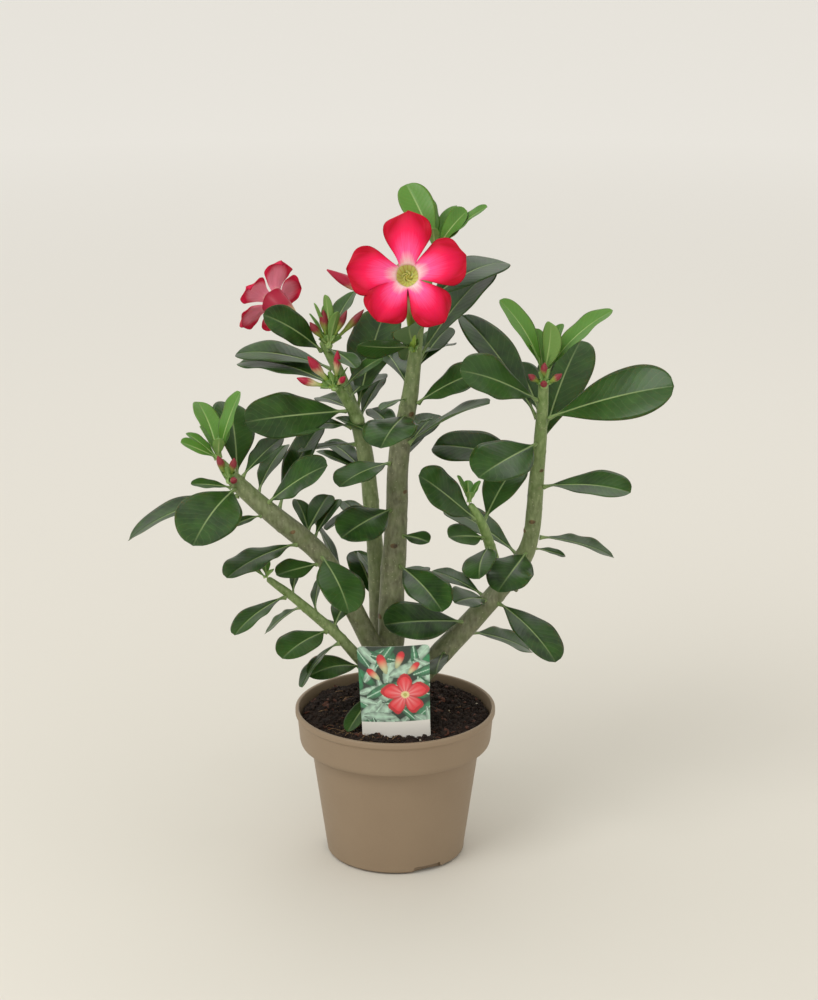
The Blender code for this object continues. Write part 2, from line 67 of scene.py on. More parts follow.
def linear(text):
    # sRGB hex to the linear colour that shaders use
    channels = [int(text[i:i + 2], 16) / 255 for i in (1, 3, 5)]
    return [c / 12.92 if c <= 0.04045 else ((c + 0.055) / 1.055) ** 2.4 for c in channels] + [1.0]


def addNode(tree, kind, inputs=(), out=0, stops=None, **settings):
    # one node with its settings, colour stops and inputs (links or values); gives back one output
    made = tree.nodes.new(kind)
    for key, value in settings.items():
        setattr(made, key, value)
    if stops:
        elements = made.color_ramp.elements
        while len(elements) < len(stops):
            elements.new(0.5)
        for element, (place, colour) in zip(elements, stops):
            element.position = place
            element.color = linear(colour) if isinstance(colour, str) else (colour, colour, colour, 1)
    for key, value in (inputs.items() if isinstance(inputs, dict) else enumerate(inputs)):
        if isinstance(value, bpy.types.NodeSocket):
            tree.links.new(value, made.inputs[key])
        elif value is not None:
            made.inputs[key].default_value = linear(value) if str(value).startswith("#") else value
    return made.outputs[out]


def newMaterial(name, **constants):
    # a Principled material whose fixed numbers sit on the shader's own sockets
    material = bpy.data.materials.new(name)
    material.use_nodes = True
    tree = material.node_tree
    shader = tree.nodes["Principled BSDF"]
    for key, value in constants.items():
        shader.inputs[key.replace("_", " ")].default_value = value
    return material, partial(addNode, tree), shader


def wire(shader, colour=None, roughness=None, normal=None):
    for key, socket in (("Base Color", colour), ("Roughness", roughness), ("Normal", normal)):
        if socket is not None:
            shader.id_data.links.new(socket, shader.inputs[key])


def addObject(name, mesh, *materials, smooth=True):
    piece = bpy.data.objects.new(name, mesh)
    bpy.context.scene.collection.objects.link(piece)
    for material in materials:
        mesh.materials.append(material)
    if smooth:
        mesh.shade_smooth()
    return piece


def meshOf(name, points, faces, attributes=None, uvs=None):
    # a mesh from points and faces, with point attributes and a UV place for each point
    mesh = bpy.data.meshes.new(name)
    mesh.from_pydata([tuple(p) for p in points], [], faces)
    for key, values in (attributes or {}).items():
        layer = mesh.attributes.new(key, "FLOAT", "POINT")
        layer.data.foreach_set("value", np.asarray(values, np.float32))
    if uvs is not None:
        layer = mesh.uv_layers.new(name="surface")
        corner = np.zeros(len(mesh.loops), np.int32)
        mesh.loops.foreach_get("vertex_index", corner)
        layer.data.foreach_set("uv", np.asarray(uvs, np.float32)[corner].ravel())
    return mesh


def outward(mesh):
    # turns the faces of a closed mesh outwards
    work = bmesh.new()
    work.from_mesh(mesh)
    bmesh.ops.recalc_face_normals(work, faces=work.faces)
    work.to_mesh(mesh)
    work.free()


def evaluated(piece):
    # the plain mesh that a piece's modifiers give
    return bpy.data.meshes.new_from_object(piece.evaluated_get(bpy.context.evaluated_depsgraph_get()))


def ringFaces(rings, sides, first=0, inside=False):
    # four-sided faces between closed rings of points; inside turns them the other way
    faces = []
    for row in range(rings - 1):
        for k in range(sides):
            a, b = first + row * sides + k, first + row * sides + (k + 1) % sides
            faces.append((a, a + sides, b + sides, b) if inside else (a, b, b + sides, a + sides))
    return faces


def level(radius, height, sides):
    # a level ring of points about the upright axis
    return [(radius * cos(tau * k / sides), radius * sin(tau * k / sides), height) for k in range(sides)]


def welded(node):
    # a CAD node's points, merged, and its triangles
    mesh = nodes[node].data
    points = np.zeros(len(mesh.vertices) * 3, np.float32)
    mesh.vertices.foreach_get("co", points)
    mesh.calc_loop_triangles()
    triangles = np.zeros(len(mesh.loop_triangles) * 3, np.int32)
    mesh.loop_triangles.foreach_get("vertices", triangles)
    points, back = np.unique(np.round(points.reshape(-1, 3), 6), axis=0, return_inverse=True)
    triangles = back.reshape(-1)[triangles].reshape(-1, 3)
    keep = (triangles != np.roll(triangles, -1, axis=1)).all(axis=1)
    return points.astype(float), triangles[keep]


def cutPoints(points, edges, origin, normal):
    # where a plane crosses a mesh's edges
    side = (points - origin) @ normal
    a, b = side[edges[:, 0]], side[edges[:, 1]]
    crossed = (a < 0) != (b < 0)
    share = (a[crossed] / (a[crossed] - b[crossed]))[:, None]
    return points[edges[crossed, 0]] * (1 - share) + points[edges[crossed, 1]] * share


def edgesOf(triangles):
    pairs = np.sort(np.concatenate([triangles[:, [0, 1]], triangles[:, [1, 2]], triangles[:, [2, 0]]]), axis=1)
    return np.unique(pairs, axis=0)


def unit(v):
    v = np.asarray(v, float)
    return v / max(np.linalg.norm(v), 1e-12)


def headed(heading, rise):
    heading, rise = radians(heading), radians(rise)
    return np.array([cos(rise) * cos(heading), cos(rise) * sin(heading), sin(rise)])


mathNode, mixNode, rampNode, noiseNode = "ShaderNodeMath", "ShaderNodeMix", "ShaderNodeValToRGB", "ShaderNodeTexNoise"
coordNode, splitNode, bumpNode = "ShaderNodeTexCoord", "ShaderNodeSeparateXYZ", "ShaderNodeBump"
mapNode, attributeNode, vectorNode = "ShaderNodeMapping", "ShaderNodeAttribute", "ShaderNodeVectorMath"


def leafMaterial(name, upperDark, upperLight, lower, vein, gloss):
    # a living leaf: waxy and dark above, dull and paler below, with a pale midrib and faint side veins
    material, add, shader = newMaterial(name, IOR=1.42, Specular_IOR_Level=0.42, Subsurface_Weight=0.05,
                                        Subsurface_Scale=0.002)
    place = add(coordNode, out="Object")
    uv = add(coordNode, out="UV")
    along = add(splitNode, [uv])
    across = add(mathNode, [add(splitNode, [uv], 1), 0.5], operation="SUBTRACT")
    off = add(mathNode, [add(mathNode, [across], operation="ABSOLUTE"), 2.0], operation="MULTIPLY")
    upper, tone, half = (add(attributeNode, out="Fac", attribute_name=key) for key in ("upper", "tone", "half"))
    patches = add(noiseNode, {"Vector": place, "Scale": 70.0, "Detail": 4.0, "Roughness": 0.55})
    cloud = add(rampNode, [patches], stops=((0.35, 0.0), (0.7, 1.0)))
    body = add(mixNode, {0: cloud, 6: upperDark, 7: upperLight}, 2, data_type="RGBA")
    body = add(mixNode, {0: tone, 6: body, 7: upperLight}, 2, data_type="RGBA")
    body = add(mixNode, {0: upper, 6: lower, 7: body}, 2, data_type="RGBA")
    # side veins leave the midrib at a slant and curve towards the margin
    bend = add(noiseNode, {"Vector": place, "Scale": 110.0, "Detail": 3.0})
    slant = add(mathNode, [along, 15.0, bend], operation="MULTIPLY_ADD")
    slant = add(mathNode, [off, -2.6, slant], operation="MULTIPLY_ADD")
    wave = add(mathNode, [add(mathNode, [slant, tau], operation="MULTIPLY")], operation="SINE")
    side = add(rampNode, [wave], stops=((0.86, 0.0), (1.0, 0.07)))
    body = add(mixNode, {0: side, 6: body, 7: vein}, 2, data_type="RGBA")
    # the midrib keeps its width in millimetres, so it uses the blade's half width
    reach = add(mathNode, [off, half], operation="MULTIPLY")
    rib = add(rampNode, [add(mathNode, [reach, 800.0], operation="MULTIPLY")], stops=((0.25, 1.0), (0.62, 0.0)))
    fade = add(rampNode, [along], stops=((0.0, 1.0), (0.55, 0.95), (0.97, 0.12)))
    rib = add(mathNode, [rib, fade], operation="MULTIPLY")
    margin = add(rampNode, [off], stops=((0.95, 0.0), (0.995, 0.3)))
    stalk = add(rampNode, [along], stops=((0.03, 1.0), (0.15, 0.0)))
    pale = add(mathNode, [rib, add(mathNode, [margin, stalk], operation="MAXIMUM")], operation="MAXIMUM")
    body = add(mixNode, {0: pale, 6: body, 7: vein}, 2, data_type="RGBA")
    fine = add(noiseNode, {"Vector": place, "Scale": 830.0, "Detail": 3.0})
    rough = add(mathNode, [patches, 0.16, gloss], operation="MULTIPLY_ADD")
    dull = add(mathNode, [upper, -0.25, 0.25], operation="MULTIPLY_ADD")
    rough = add(mathNode, [rough, dull], operation="ADD")
    height = add(mathNode, [wave, 0.1, add(mathNode, [fine, 0.2], operation="MULTIPLY")], operation="MULTIPLY_ADD")
    height = add(mathNode, [height, rib], operation="SUBTRACT")
    wire(shader, body, rough, add(bumpNode, {"Height": height, "Distance": 0.35 * mm, "Strength": 0.5}))
    return material


def barkMaterial():
    # smooth succulent bark: grey-brown at the foot, fresh green at the tips, with pores and pale streaks
    material, add, shader = newMaterial("living bark", IOR=1.45)
    place = add(coordNode, out="Object")
    youth, scar, knot = (add(attributeNode, out="Fac", attribute_name=key) for key in ("youth", "scar", "knot"))
    mottle = add(noiseNode, {"Vector": place, "Scale": 110.0, "Detail": 5.0})
    drawn = add(mapNode, {"Vector": place, "Scale": (1, 1, 0.45)})
    streaks = add(noiseNode, {"Vector": drawn, "Scale": 385.0, "Detail": 4.0})
    grey = add(rampNode, [streaks], stops=((0.3, "#5F6047"), (0.72, "#8E9172")))
    moss = add(rampNode, [mottle], stops=((0.4, 0.0), (0.75, 0.8)))
    old = add(mixNode, {0: moss, 6: grey, 7: "#6E7B4E"}, 2, data_type="RGBA")
    young = add(rampNode, [streaks], stops=((0.3, "#66843E"), (0.7, "#90A868")))
    colour = add(mixNode, {0: youth, 6: old, 7: young}, 2, data_type="RGBA")
    pores = add("ShaderNodeTexVoronoi", {"Vector": place, "Scale": 310.0})
    spot = add(rampNode, [pores], stops=((0.1, 0.45), (0.2, 0.0)))
    colour = add(mixNode, {0: spot, 6: colour, 7: "#B5B594"}, 2, data_type="RGBA")
    worn = add(rampNode, [scar], stops=((0.2, 0.0), (0.8, 0.5)))
    colour = add(mixNode, {0: worn, 6: colour, 7: "#7C7D58"}, 2, data_type="RGBA")
    corky = add(rampNode, [knot], stops=((0.12, 0.0), (0.5, 0.9)))
    cork = add(rampNode, [streaks], stops=((0.3, "#2E2115"), (0.7, "#7A5A38")))
    colour = add(mixNode, {0: corky, 6: colour, 7: cork}, 2, data_type="RGBA")
    rough = add(mathNode, [streaks, 0.25, 0.38], operation="MULTIPLY_ADD")
    height = add(mathNode, [mottle, 0.6, streaks], operation="MULTIPLY_ADD")
    height = add(mathNode, [spot, 0.6, height], operation="MULTIPLY_ADD")
    wire(shader, colour, rough, add(bumpNode, {"Height": height, "Distance": 0.5 * mm, "Strength": 0.55}))
    return material


def petalMaterial(name, deep, rich, middle, pale, underEdge, underMid):
    # velvety petal skin: pale by the throat, pink in the middle and deep red at the margin, paler below
    material, add, shader = newMaterial(name, IOR=1.4, Roughness=0.55, Specular_IOR_Level=0.25,
                                        Subsurface_Weight=0.12, Subsurface_Scale=0.003)
    uv = add(coordNode, out="UV")
    along = add(splitNode, [uv])
    across = add(mathNode, [add(splitNode, [uv], 1), 0.5], operation="SUBTRACT")
    off = add(mathNode, [add(mathNode, [across], operation="ABSOLUTE"), 2.0], operation="MULTIPLY")
    drawn = add(mapNode, {"Vector": uv, "Scale": (0.06, 1, 1)})
    fibres = add(noiseNode, {"Vector": drawn, "Scale": 33.0, "Detail": 5.0})
    flow = add(mathNode, [fibres, 0.16, add(mathNode, [along, 0.08], operation="SUBTRACT")], operation="MULTIPLY_ADD")
    inward = add(mathNode, [along, 0.5], operation="POWER")
    edge = add(mathNode, [add(mathNode, [off, 2.4], operation="POWER"), inward], operation="MULTIPLY")
    flow = add(mathNode, [edge, 0.85, flow], operation="MULTIPLY_ADD")
    face = add(rampNode, [flow], stops=((0.0, pale), (0.1, pale), (0.34, middle), (0.66, rich), (0.98, deep)))
    streak = add(rampNode, [fibres], stops=((0.45, 0.0), (0.75, 0.35)))
    face = add(mixNode, {0: streak, 6: face, 7: rich}, 2, data_type="RGBA")
    under = add(rampNode, [flow], stops=((0.0, "#EFE3C4"), (0.25, underMid), (0.7, underMid), (1.0, underEdge)))
    under = add(mixNode, {0: streak, 6: under, 7: underEdge}, 2, data_type="RGBA")
    upper = add(attributeNode, out="Fac", attribute_name="upper")
    colour = add(mixNode, {0: upper, 6: under, 7: face}, 2, data_type="RGBA")
    wire(shader, colour, None, add(bumpNode, {"Height": fibres, "Distance": 0.4 * mm, "Strength": 0.5}))
    return material


def throatMaterial():
    # the funnel's lining: yellow-green with red nectar lines that run inwards
    material, add, shader = newMaterial("flower throat lining", IOR=1.4, Roughness=0.55, Subsurface_Weight=0.1,
                                        Subsurface_Scale=0.003)
    uv = add(coordNode, out="UV")
    depth, turn = add(splitNode, [uv]), add(splitNode, [uv], 1)
    lining = add(rampNode, [depth], stops=((0.0, "#FCEFDC"), (0.05, "#F3ECBC"), (0.16, "#E0E292"), (1.0, "#C9CE66")))
    ripple = add(mathNode, [add(mathNode, [turn, 15 * tau], operation="MULTIPLY")], operation="SINE")
    lines = add(rampNode, [ripple], stops=((0.4, 0.0), (0.95, 0.4)))
    inner = add(rampNode, [depth], stops=((0.1, 0.0), (0.35, 0.8)))
    lines = add(mathNode, [lines, inner], operation="MULTIPLY")
    colour = add(mixNode, {0: lines, 6: lining, 7: "#B03A22"}, 2, data_type="RGBA")
    pits = add(noiseNode, {"Vector": add(coordNode, out="Object"), "Scale": 670.0})
    wire(shader, colour, None, add(bumpNode, {"Height": pits, "Distance": 0.2 * mm, "Strength": 0.5}))
    return material


def budMaterial(name, foot, middle, tip):
    # a closed bud: green at its foot, running through cream-yellow into its crimson tip
    material, add, shader = newMaterial(name, IOR=1.42, Roughness=0.45, Subsurface_Weight=0.08, Subsurface_Scale=0.002)
    uv = add(coordNode, out="UV")
    drawn = add(mapNode, {"Vector": uv, "Scale": (0.12, 1, 1)})
    fibres = add(noiseNode, {"Vector": drawn, "Scale": 17.0, "Detail": 4.0})
    flow = add(mathNode, [fibres, 0.3, add(splitNode, [uv])], operation="MULTIPLY_ADD")
    colour = add(rampNode, [flow], stops=((0.5, foot), (0.72, middle), (0.9, tip), (1.0, tip)))
    wire(shader, colour, None, add(bumpNode, {"Height": fibres, "Distance": 0.4 * mm, "Strength": 0.6}))
    return material


def potMaterial():
    # injection-moulded recycled polypropylene: a matt skin with a faint grain and a few scuffs
    material, add, shader = newMaterial("moulded polypropylene", IOR=1.49)
    place = add(coordNode, out="Object")
    cloud = add(noiseNode, {"Vector": place, "Scale": 22.0, "Detail": 3.0})
    grain = add(noiseNode, {"Vector": place, "Scale": 1100.0, "Detail": 3.0})
    drawn = add(mapNode, {"Vector": place, "Scale": (1, 1, 5)})
    scuff = add(noiseNode, {"Vector": drawn, "Scale": 83.0, "Detail": 6.0, "Roughness": 0.7})
    colour = add(mixNode, {0: cloud, 6: "#8E7A63", 7: "#9A866E"}, 2, data_type="RGBA")
    speck = add(mathNode, [grain, 0.25], operation="MULTIPLY")
    colour = add(mixNode, {0: speck, 6: colour, 7: "#806D57"}, 2, data_type="RGBA")
    worn = add(rampNode, [scuff], stops=((0.62, 0.0), (0.8, 0.35)))
    colour = add(mixNode, {0: worn, 6: colour, 7: "#A89980"}, 2, data_type="RGBA")
    rough = add(mathNode, [scuff, 0.2, 0.42], operation="MULTIPLY_ADD")
    wire(shader, colour, rough, add(bumpNode, {"Height": grain, "Distance": 0.12 * mm, "Strength": 0.5}))
    return material


def grainMaterial(name, dark, light, scale, roughness, depth):
    # crumbly or fibrous matter in two mottled tones
    material, add, shader = newMaterial(name, IOR=1.45, Roughness=roughness)
    place = add(coordNode, out="Object")
    lumps = add(noiseNode, {"Vector": place, "Scale": scale, "Detail": 5.0, "Roughness": 0.65})
    patches = add(noiseNode, {"Vector": place, "Scale": scale / 6, "Detail": 2.0})
    colour = add(rampNode, [lumps], stops=((0.35, dark), (0.7, light)))
    shade = add(rampNode, [patches], stops=((0.4, 0.0), (0.7, 0.5)))
    colour = add(mixNode, {0: shade, 6: colour, 7: dark}, 2, data_type="RGBA")
    wire(shader, colour, None, add(bumpNode, {"Height": lumps, "Distance": depth, "Strength": 0.8}))
    return material


def labelMaterial():
    # a printed polystyrene card: the picture is a colour layer on the card's own mesh
    material, add, shader = newMaterial("printed polystyrene", IOR=1.59, Coat_Weight=0.1, Coat_Roughness=0.2)
    place = add(coordNode, out="Object")
    picture = add(attributeNode, out="Color", attribute_name="print")
    dots = add(noiseNode, {"Vector": place, "Scale": 1250.0, "Detail": 2.0})
    veil = add(mathNode, [dots, 0.03], operation="MULTIPLY")
    colour = add(mixNode, {0: veil, 6: picture, 7: "#FFFFFF"}, 2, data_type="RGBA")
    rough = add(mathNode, [dots, 0.1, 0.28], operation="MULTIPLY_ADD")
    ripple = add(noiseNode, {"Vector": place, "Scale": 170.0, "Detail": 2.0})
    wire(shader, colour, rough, add(bumpNode, {"Height": ripple, "Distance": 0.1 * mm, "Strength": 0.3}))
    return material


matureLeaf = leafMaterial("waxy mature leaf", "#1A3113", "#35591F", "#5F7A4C", "#8DA36A", 0.24)
youngLeaf = leafMaterial("tender young leaf", "#34631F", "#5B8A35", "#75994F", "#A0BB74", 0.3)
bark = barkMaterial()
petalSkin = petalMaterial("velvety crimson petal", "#B20022", "#F01650", "#FF5E9E", "#FFE2E2", "#C92F52", "#EFA3B2")
fadedPetal = petalMaterial("pink petal", "#B80A2C", "#DC2450", "#F06088", "#F8DCD8", "#D41E48", "#F08CA4")
throatLining = throatMaterial()
budSkin = budMaterial("crimson flower bud", "#8FAE45", "#D2C795", "#A81C3A")
greenBud = budMaterial("green flower bud", "#7F9A3E", "#8FA04A", "#8A3038")
potPlastic = potMaterial()
peat = grainMaterial("moist peat", "#17100C", "#3C2A20", 450.0, 0.95, 1.5 * mm)
barkChip = grainMaterial("composted bark chip", "#3A2015", "#6B3C28", 625.0, 0.85, 0.5 * mm)
coirFibre = grainMaterial("coir fibre", "#6B4E32", "#B3946A", 1000.0, 0.8, 0.2 * mm)
perliteGrain = grainMaterial("perlite grain", "#B0A48E", "#DCD3C2", 1250.0, 0.9, 0.5 * mm)
labelCard = labelMaterial()
print("materials made")


def loopsAt(points, triangles, z):
    # the centre and radius of each closed outline that a level plane cuts
    side = points[:, 2] > z
    crossed = triangles[side[triangles].any(axis=1) & ~side[triangles].all(axis=1)]
    parent = {}

    def root(key):
        while parent.setdefault(key, key) != key:
            key = parent[key]
        return key

    for t in crossed:
        cuts = [tuple(sorted((int(t[i]), int(t[i - 1])))) for i in range(3) if side[t[i]] != side[t[i - 1]]]
        parent[root(cuts[0])] = root(cuts[1])
    loops = {}
    for a, b in parent:
        share = (z - points[a, 2]) / (points[b, 2] - points[a, 2])
        loops.setdefault(root((a, b)), []).append(points[a] * (1 - share) + points[b] * share)
    found = []
    for loop in map(np.array, loops.values()):
        centre = (loop.min(axis=0) + loop.max(axis=0)) / 2
        spread = np.sort(np.linalg.norm(loop - centre, axis=1))
        found.append((centre, float(spread[:len(spread) // 2].mean())))
    return found


def centreLine(node, top=None, bottom=None, front=False, levels=26):
    # follows one outline down from the top: a list of (point, radius), foot first
    points, triangles = welded(node)
    low, high = points[:, 2].min() + 1 * mm, points[:, 2].max() - 2.5 * mm
    low, high = (low if bottom is None else bottom), (high if top is None else top)
    route = []
    for z in np.linspace(high, low, levels):
        found = loopsAt(points, triangles, z + 1e-7)
        if not route:
            choice = min(found, key=lambda f: f[0][1] if front else -f[0][2])
        else:
            last = route[-1]
            choice = min(found, key=lambda f: np.linalg.norm(f[0][:2] - last[0][:2]))
            if choice[1] > 1.6 * max(last[1], 4 * mm):
                choice = (last[0] * 0.4 + choice[0] * 0.6, last[1]) if len(route) < levels - 2 else last
        route.append(choice)
    return route[::-1]


stemWidening = 1.07  # the bark lies a little outside the CAD stems


def smoothed(route, fineness=5):
    # eases a route's points and radii and fills between them
    points = np.array([p for p, _ in route])
    radii = np.array([r for _, r in route])
    for _ in range(2):
        points[1:-1] = points[1:-1] * 0.5 + (points[:-2] + points[2:]) * 0.25
        radii[1:-1] = radii[1:-1] * 0.5 + (radii[:-2] + radii[2:]) * 0.25
    coarse, fine = np.arange(len(points)), np.linspace(0, len(points) - 1, (len(points) - 1) * fineness + 1)
    out = np.stack([np.interp(fine, coarse, points[:, k]) for k in range(3)], axis=1)
    for _ in range(fineness):
        out[1:-1] = out[1:-1] * 0.5 + (out[:-2] + out[2:]) * 0.25
    return out, np.interp(fine, coarse, radii) * stemWidening


def frames(points):
    # a direction and two steady cross directions at each point of a route
    along = np.gradient(points, axis=0)
    along /= np.linalg.norm(along, axis=1)[:, None]
    side = np.cross(along, (0, 1, 0))
    side /= np.linalg.norm(side, axis=1)[:, None]
    return along, side, np.cross(side, along)


def atHeight(route, z):
    # the point, direction and radius of a smoothed route at a height
    points, radii = route
    i = int(np.argmin(abs(points[:, 2] - z)))
    direction = unit(points[min(i + 1, len(points) - 1)] - points[max(i - 1, 0)])
    return points[i], direction, radii[i]


def besideStem(route, z, heading, rise, clear=0.0):
    centre, direction, radius = atHeight(route, z)
    away = headed(heading, rise)
    return centre + unit(away - direction * (away @ direction)) * (radius + clear)


routes = {
    "main": smoothed(centreLine("main_stem")),
    "second": smoothed(centreLine("second_stem", top=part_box("second_stem")[1][2] - 28 * mm, front=True)),
    "upper": smoothed(centreLine("second_stem", bottom=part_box("second_stem")[1][2] - 54 * mm, levels=10)),
    "left": smoothed(centreLine("left_branch")),
    "lowLeft": smoothed(centreLine("low_left_branch")),
    "right": smoothed(centreLine("right_branch")),
    "inner": smoothed(centreLine("inner_shoot")),
}
for key, (points, radii) in routes.items():
    print(" ", key, "runs", np.round(points[0] / mm), "to", np.round(points[-1] / mm))


woodyBody = {
    "voxel": 1.15 * mm,
    "sides": 24,
    "easing": 5,            # smoothing passes that blend the forks
    "lumps": 0.5 * mm,      # slow swellings along the stems
    "greenFrom": 120 * mm,  # the bark turns from grey-brown to green above this height
    "scarStep": 9.5 * mm,   # height between leaf scars
    "scarSize": 2.6 * mm,
    "scarRise": 0.5 * mm,
    "knots": (("main", 243, -95, 4.2, 1.1), ("main", 343, -60, 3.8, 1.0), ("main", 188, -150, 4.5, 1.2),
              ("right", 258, -100, 3.6, 1.1), ("right", 250, -160, 3.4, 1.0), ("left", 262, -80, 3.2, 0.9),
              ("main", 285, -45, 3.4, 0.9), ("second", 300, -100, 3.4, 0.8), ("right", 300, -60, 3.0, 0.8)),
}


def roundTube(points, radii, sides):
    along, side, other = frames(points)
    verts = []
    ends = [(0, -0.6, 0.55), (0, -0.25, 0.85)], [(-1, 0.25, 0.85), (-1, 0.6, 0.5)]
    rows = [(points[i] + along[i] * radii[i] * push, radii[i] * share, i) for i, push, share in ends[0]]
    rows += [(points[i], radii[i], i) for i in range(len(points))]
    rows += [(points[i] + along[i] * radii[i] * push, radii[i] * share, i) for i, push, share in ends[1]]
    for centre, radius, i in rows:
        turns = [tau * k / sides for k in range(sides)]
        verts += [centre + (side[i] * cos(a) + other[i] * sin(a)) * radius for a in turns]
    faces = ringFaces(len(rows), sides)
    faces.append(tuple(range(sides))[::-1])
    faces.append(tuple(range(len(verts) - sides, len(verts))))
    return verts, faces


def growWoodyBody():
    verts, faces = [], []
    for points, radii in routes.values():
        # the foot runs on into what it grows from
        lead = unit(points[0] - points[4])
        start = points[0] + lead * 9 * mm
        line = np.vstack([start, (start + points[0]) / 2, points])
        width = np.concatenate([[radii[0]] * 2, radii])
        v, f = roundTube(line, width, woodyBody["sides"])
        faces += [tuple(i + len(verts) for i in face) for face in f]
        verts += v
    caudexPoints, caudexTriangles = welded("caudex")
    centre = caudexPoints.mean(axis=0)
    faces += [tuple(int(i) + len(verts) for i in t) for t in caudexTriangles]
    verts += [centre + (p - centre) * 1.01 for p in caudexPoints]
    rough = addObject("woody rough", meshOf("woody rough", verts, faces))
    outward(rough.data)
    remesh = rough.modifiers.new("fuse", "REMESH")
    remesh.mode, remesh.voxel_size = "VOXEL", woodyBody["voxel"]
    ease = rough.modifiers.new("ease", "SMOOTH")
    ease.factor, ease.iterations = 0.5, woodyBody["easing"]
    mesh = evaluated(rough)
    bpy.data.objects.remove(rough)
    count = len(mesh.vertices)
    place, normal = np.zeros(count * 3, np.float32), np.zeros(count * 3, np.float32)
    mesh.vertices.foreach_get("co", place)
    mesh.vertices.foreach_get("normal", normal)
    place, normal = place.reshape(-1, 3).astype(float), normal.reshape(-1, 3)
    push, scar, knot, youth = np.zeros((4, count))
    nearest = np.full(count, 1e9)
    marks = []
    for key, (points, radii) in routes.items():
        length = np.concatenate([[0], np.cumsum(np.linalg.norm(np.diff(points, axis=0), axis=1))])
        for p, r in zip(points[::3], radii[::3]):
            gap = np.linalg.norm(place - p, axis=1) - r
            closer = gap < nearest
            nearest[closer] = gap[closer]
            youth[closer] = np.clip((7.6 * mm - r) / (4.2 * mm), 0, 1) if key != "lowLeft" else 0.75
        turn = 40.0 * len(key)
        for at in np.arange(16 * mm, length[-1] - 4 * mm, woodyBody["scarStep"]):
            turn += 137.5
            i = int(np.searchsorted(length, at))
            size = woodyBody["scarSize"] * (0.6 + 0.4 * radii[i] / (9 * mm))
            marks.append((besideStem((points, radii), points[i][2], turn, 0), size, woodyBody["scarRise"], scar))
    for key, z, heading, size, rise in woodyBody["knots"]:
        marks.append((besideStem(routes[key], z * mm, heading, 0), size * mm, rise * mm, knot))
    for p, size, rise, shown in marks:
        d = np.linalg.norm((place - p) * (1, 1, 1.5), axis=1) / size
        inside = d < 1.6
        push[inside] += rise * np.exp(-(d[inside] ** 2) * 1.6) - 0.45 * rise * np.exp(-((d[inside] / 0.4) ** 2))
        ring = 0.3 if shown is knot else 0.45
        shown[inside] = np.maximum(shown[inside], np.exp(-((d[inside] - ring) / 0.3) ** 2))
    youth *= np.clip((place[:, 2] - woodyBody["greenFrom"]) / (90 * mm), 0, 1)
    push += [woodyBody["lumps"] * noise.noise(Vector(p) * 55) for p in place]
    mesh.vertices.foreach_set("co", (place + normal * push[:, None]).astype(np.float32).ravel())
    for key, values in (("youth", youth), ("scar", scar), ("knot", knot)):
        mesh.attributes.new(key, "FLOAT", "POINT").data.foreach_set("value", values.astype(np.float32))
    mesh.materials.clear()
    piece = addObject("woody_stems", mesh, bark)
    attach(piece, "root")
    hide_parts("caudex", "main_stem", "second_stem", "left_branch", "low_left_branch", "right_branch", "inner_shoot")
    print("woody body:", count, "points,", len(marks), "scars and knots")


growWoodyBody()


blade = {
    "stations": 44,
    "columns": 21,
    "stalk": 1.3 * mm,       # radius of the leaf stalk
    "thickness": 0.55 * mm,
    "fold": 0.16,            # how far the margins rise, as a share of the half width
    "widest": 0.64,          # the share of the length where the blade is widest
    "taper": 1.25,           # higher draws the foot in
    "bluntness": 2.15,       # higher makes the tip blunter
    "wave": 0.05,            # margin waves, as a share of the half width
    "ribDepth": 0.8 * mm,
}


def sheetMesh(name, top, low, uvAlong, uvAcross, attributes):
    # closes a grid of upper points and a grid of lower points that share their margins
    rows, columns = top.shape[:2]
    inner = columns - 2
    topIndex = np.arange(rows * columns).reshape(rows, columns)
    lowIndex = topIndex.copy()
    lowIndex[:, 1:-1] = rows * columns + np.arange(rows * inner).reshape(rows, inner)
    points = [*top.reshape(-1, 3), *low[:, 1:-1].reshape(-1, 3)]
    uvs = [(u, v) for u in uvAlong for v in uvAcross] + [(u, v) for u in uvAlong for v in uvAcross[1:-1]]
    values = {key: [*np.repeat(grid, columns), *np.repeat(grid, inner)] for key, grid in attributes.items()}
    values["upper"] = [1.0] * (rows * columns) + [0.0] * (rows * inner)
    faces = []
    for i in range(rows - 1):
        for j in range(columns - 1):
            faces.append((topIndex[i, j], topIndex[i, j + 1], topIndex[i + 1, j + 1], topIndex[i + 1, j]))
            faces.append((lowIndex[i, j], lowIndex[i + 1, j], lowIndex[i + 1, j + 1], lowIndex[i, j + 1]))
    for i in (0, rows - 1):
        for j in range(columns - 1):
            corners = [topIndex[i, j], topIndex[i, j + 1], lowIndex[i, j + 1], lowIndex[i, j]]
            faces.append(tuple(dict.fromkeys(int(c) for c in corners)))
    mesh = meshOf(name, points, [tuple(int(v) for v in f) for f in faces], values, uvs)
    work = bmesh.new()
    work.from_mesh(mesh)
    bmesh.ops.remove_doubles(work, verts=work.verts, dist=0.012 * mm)
    bmesh.ops.dissolve_degenerate(work, edges=work.edges, dist=0.004 * mm)
    bmesh.ops.recalc_face_normals(work, faces=work.faces)
    work.to_mesh(mesh)
    work.free()
    return mesh


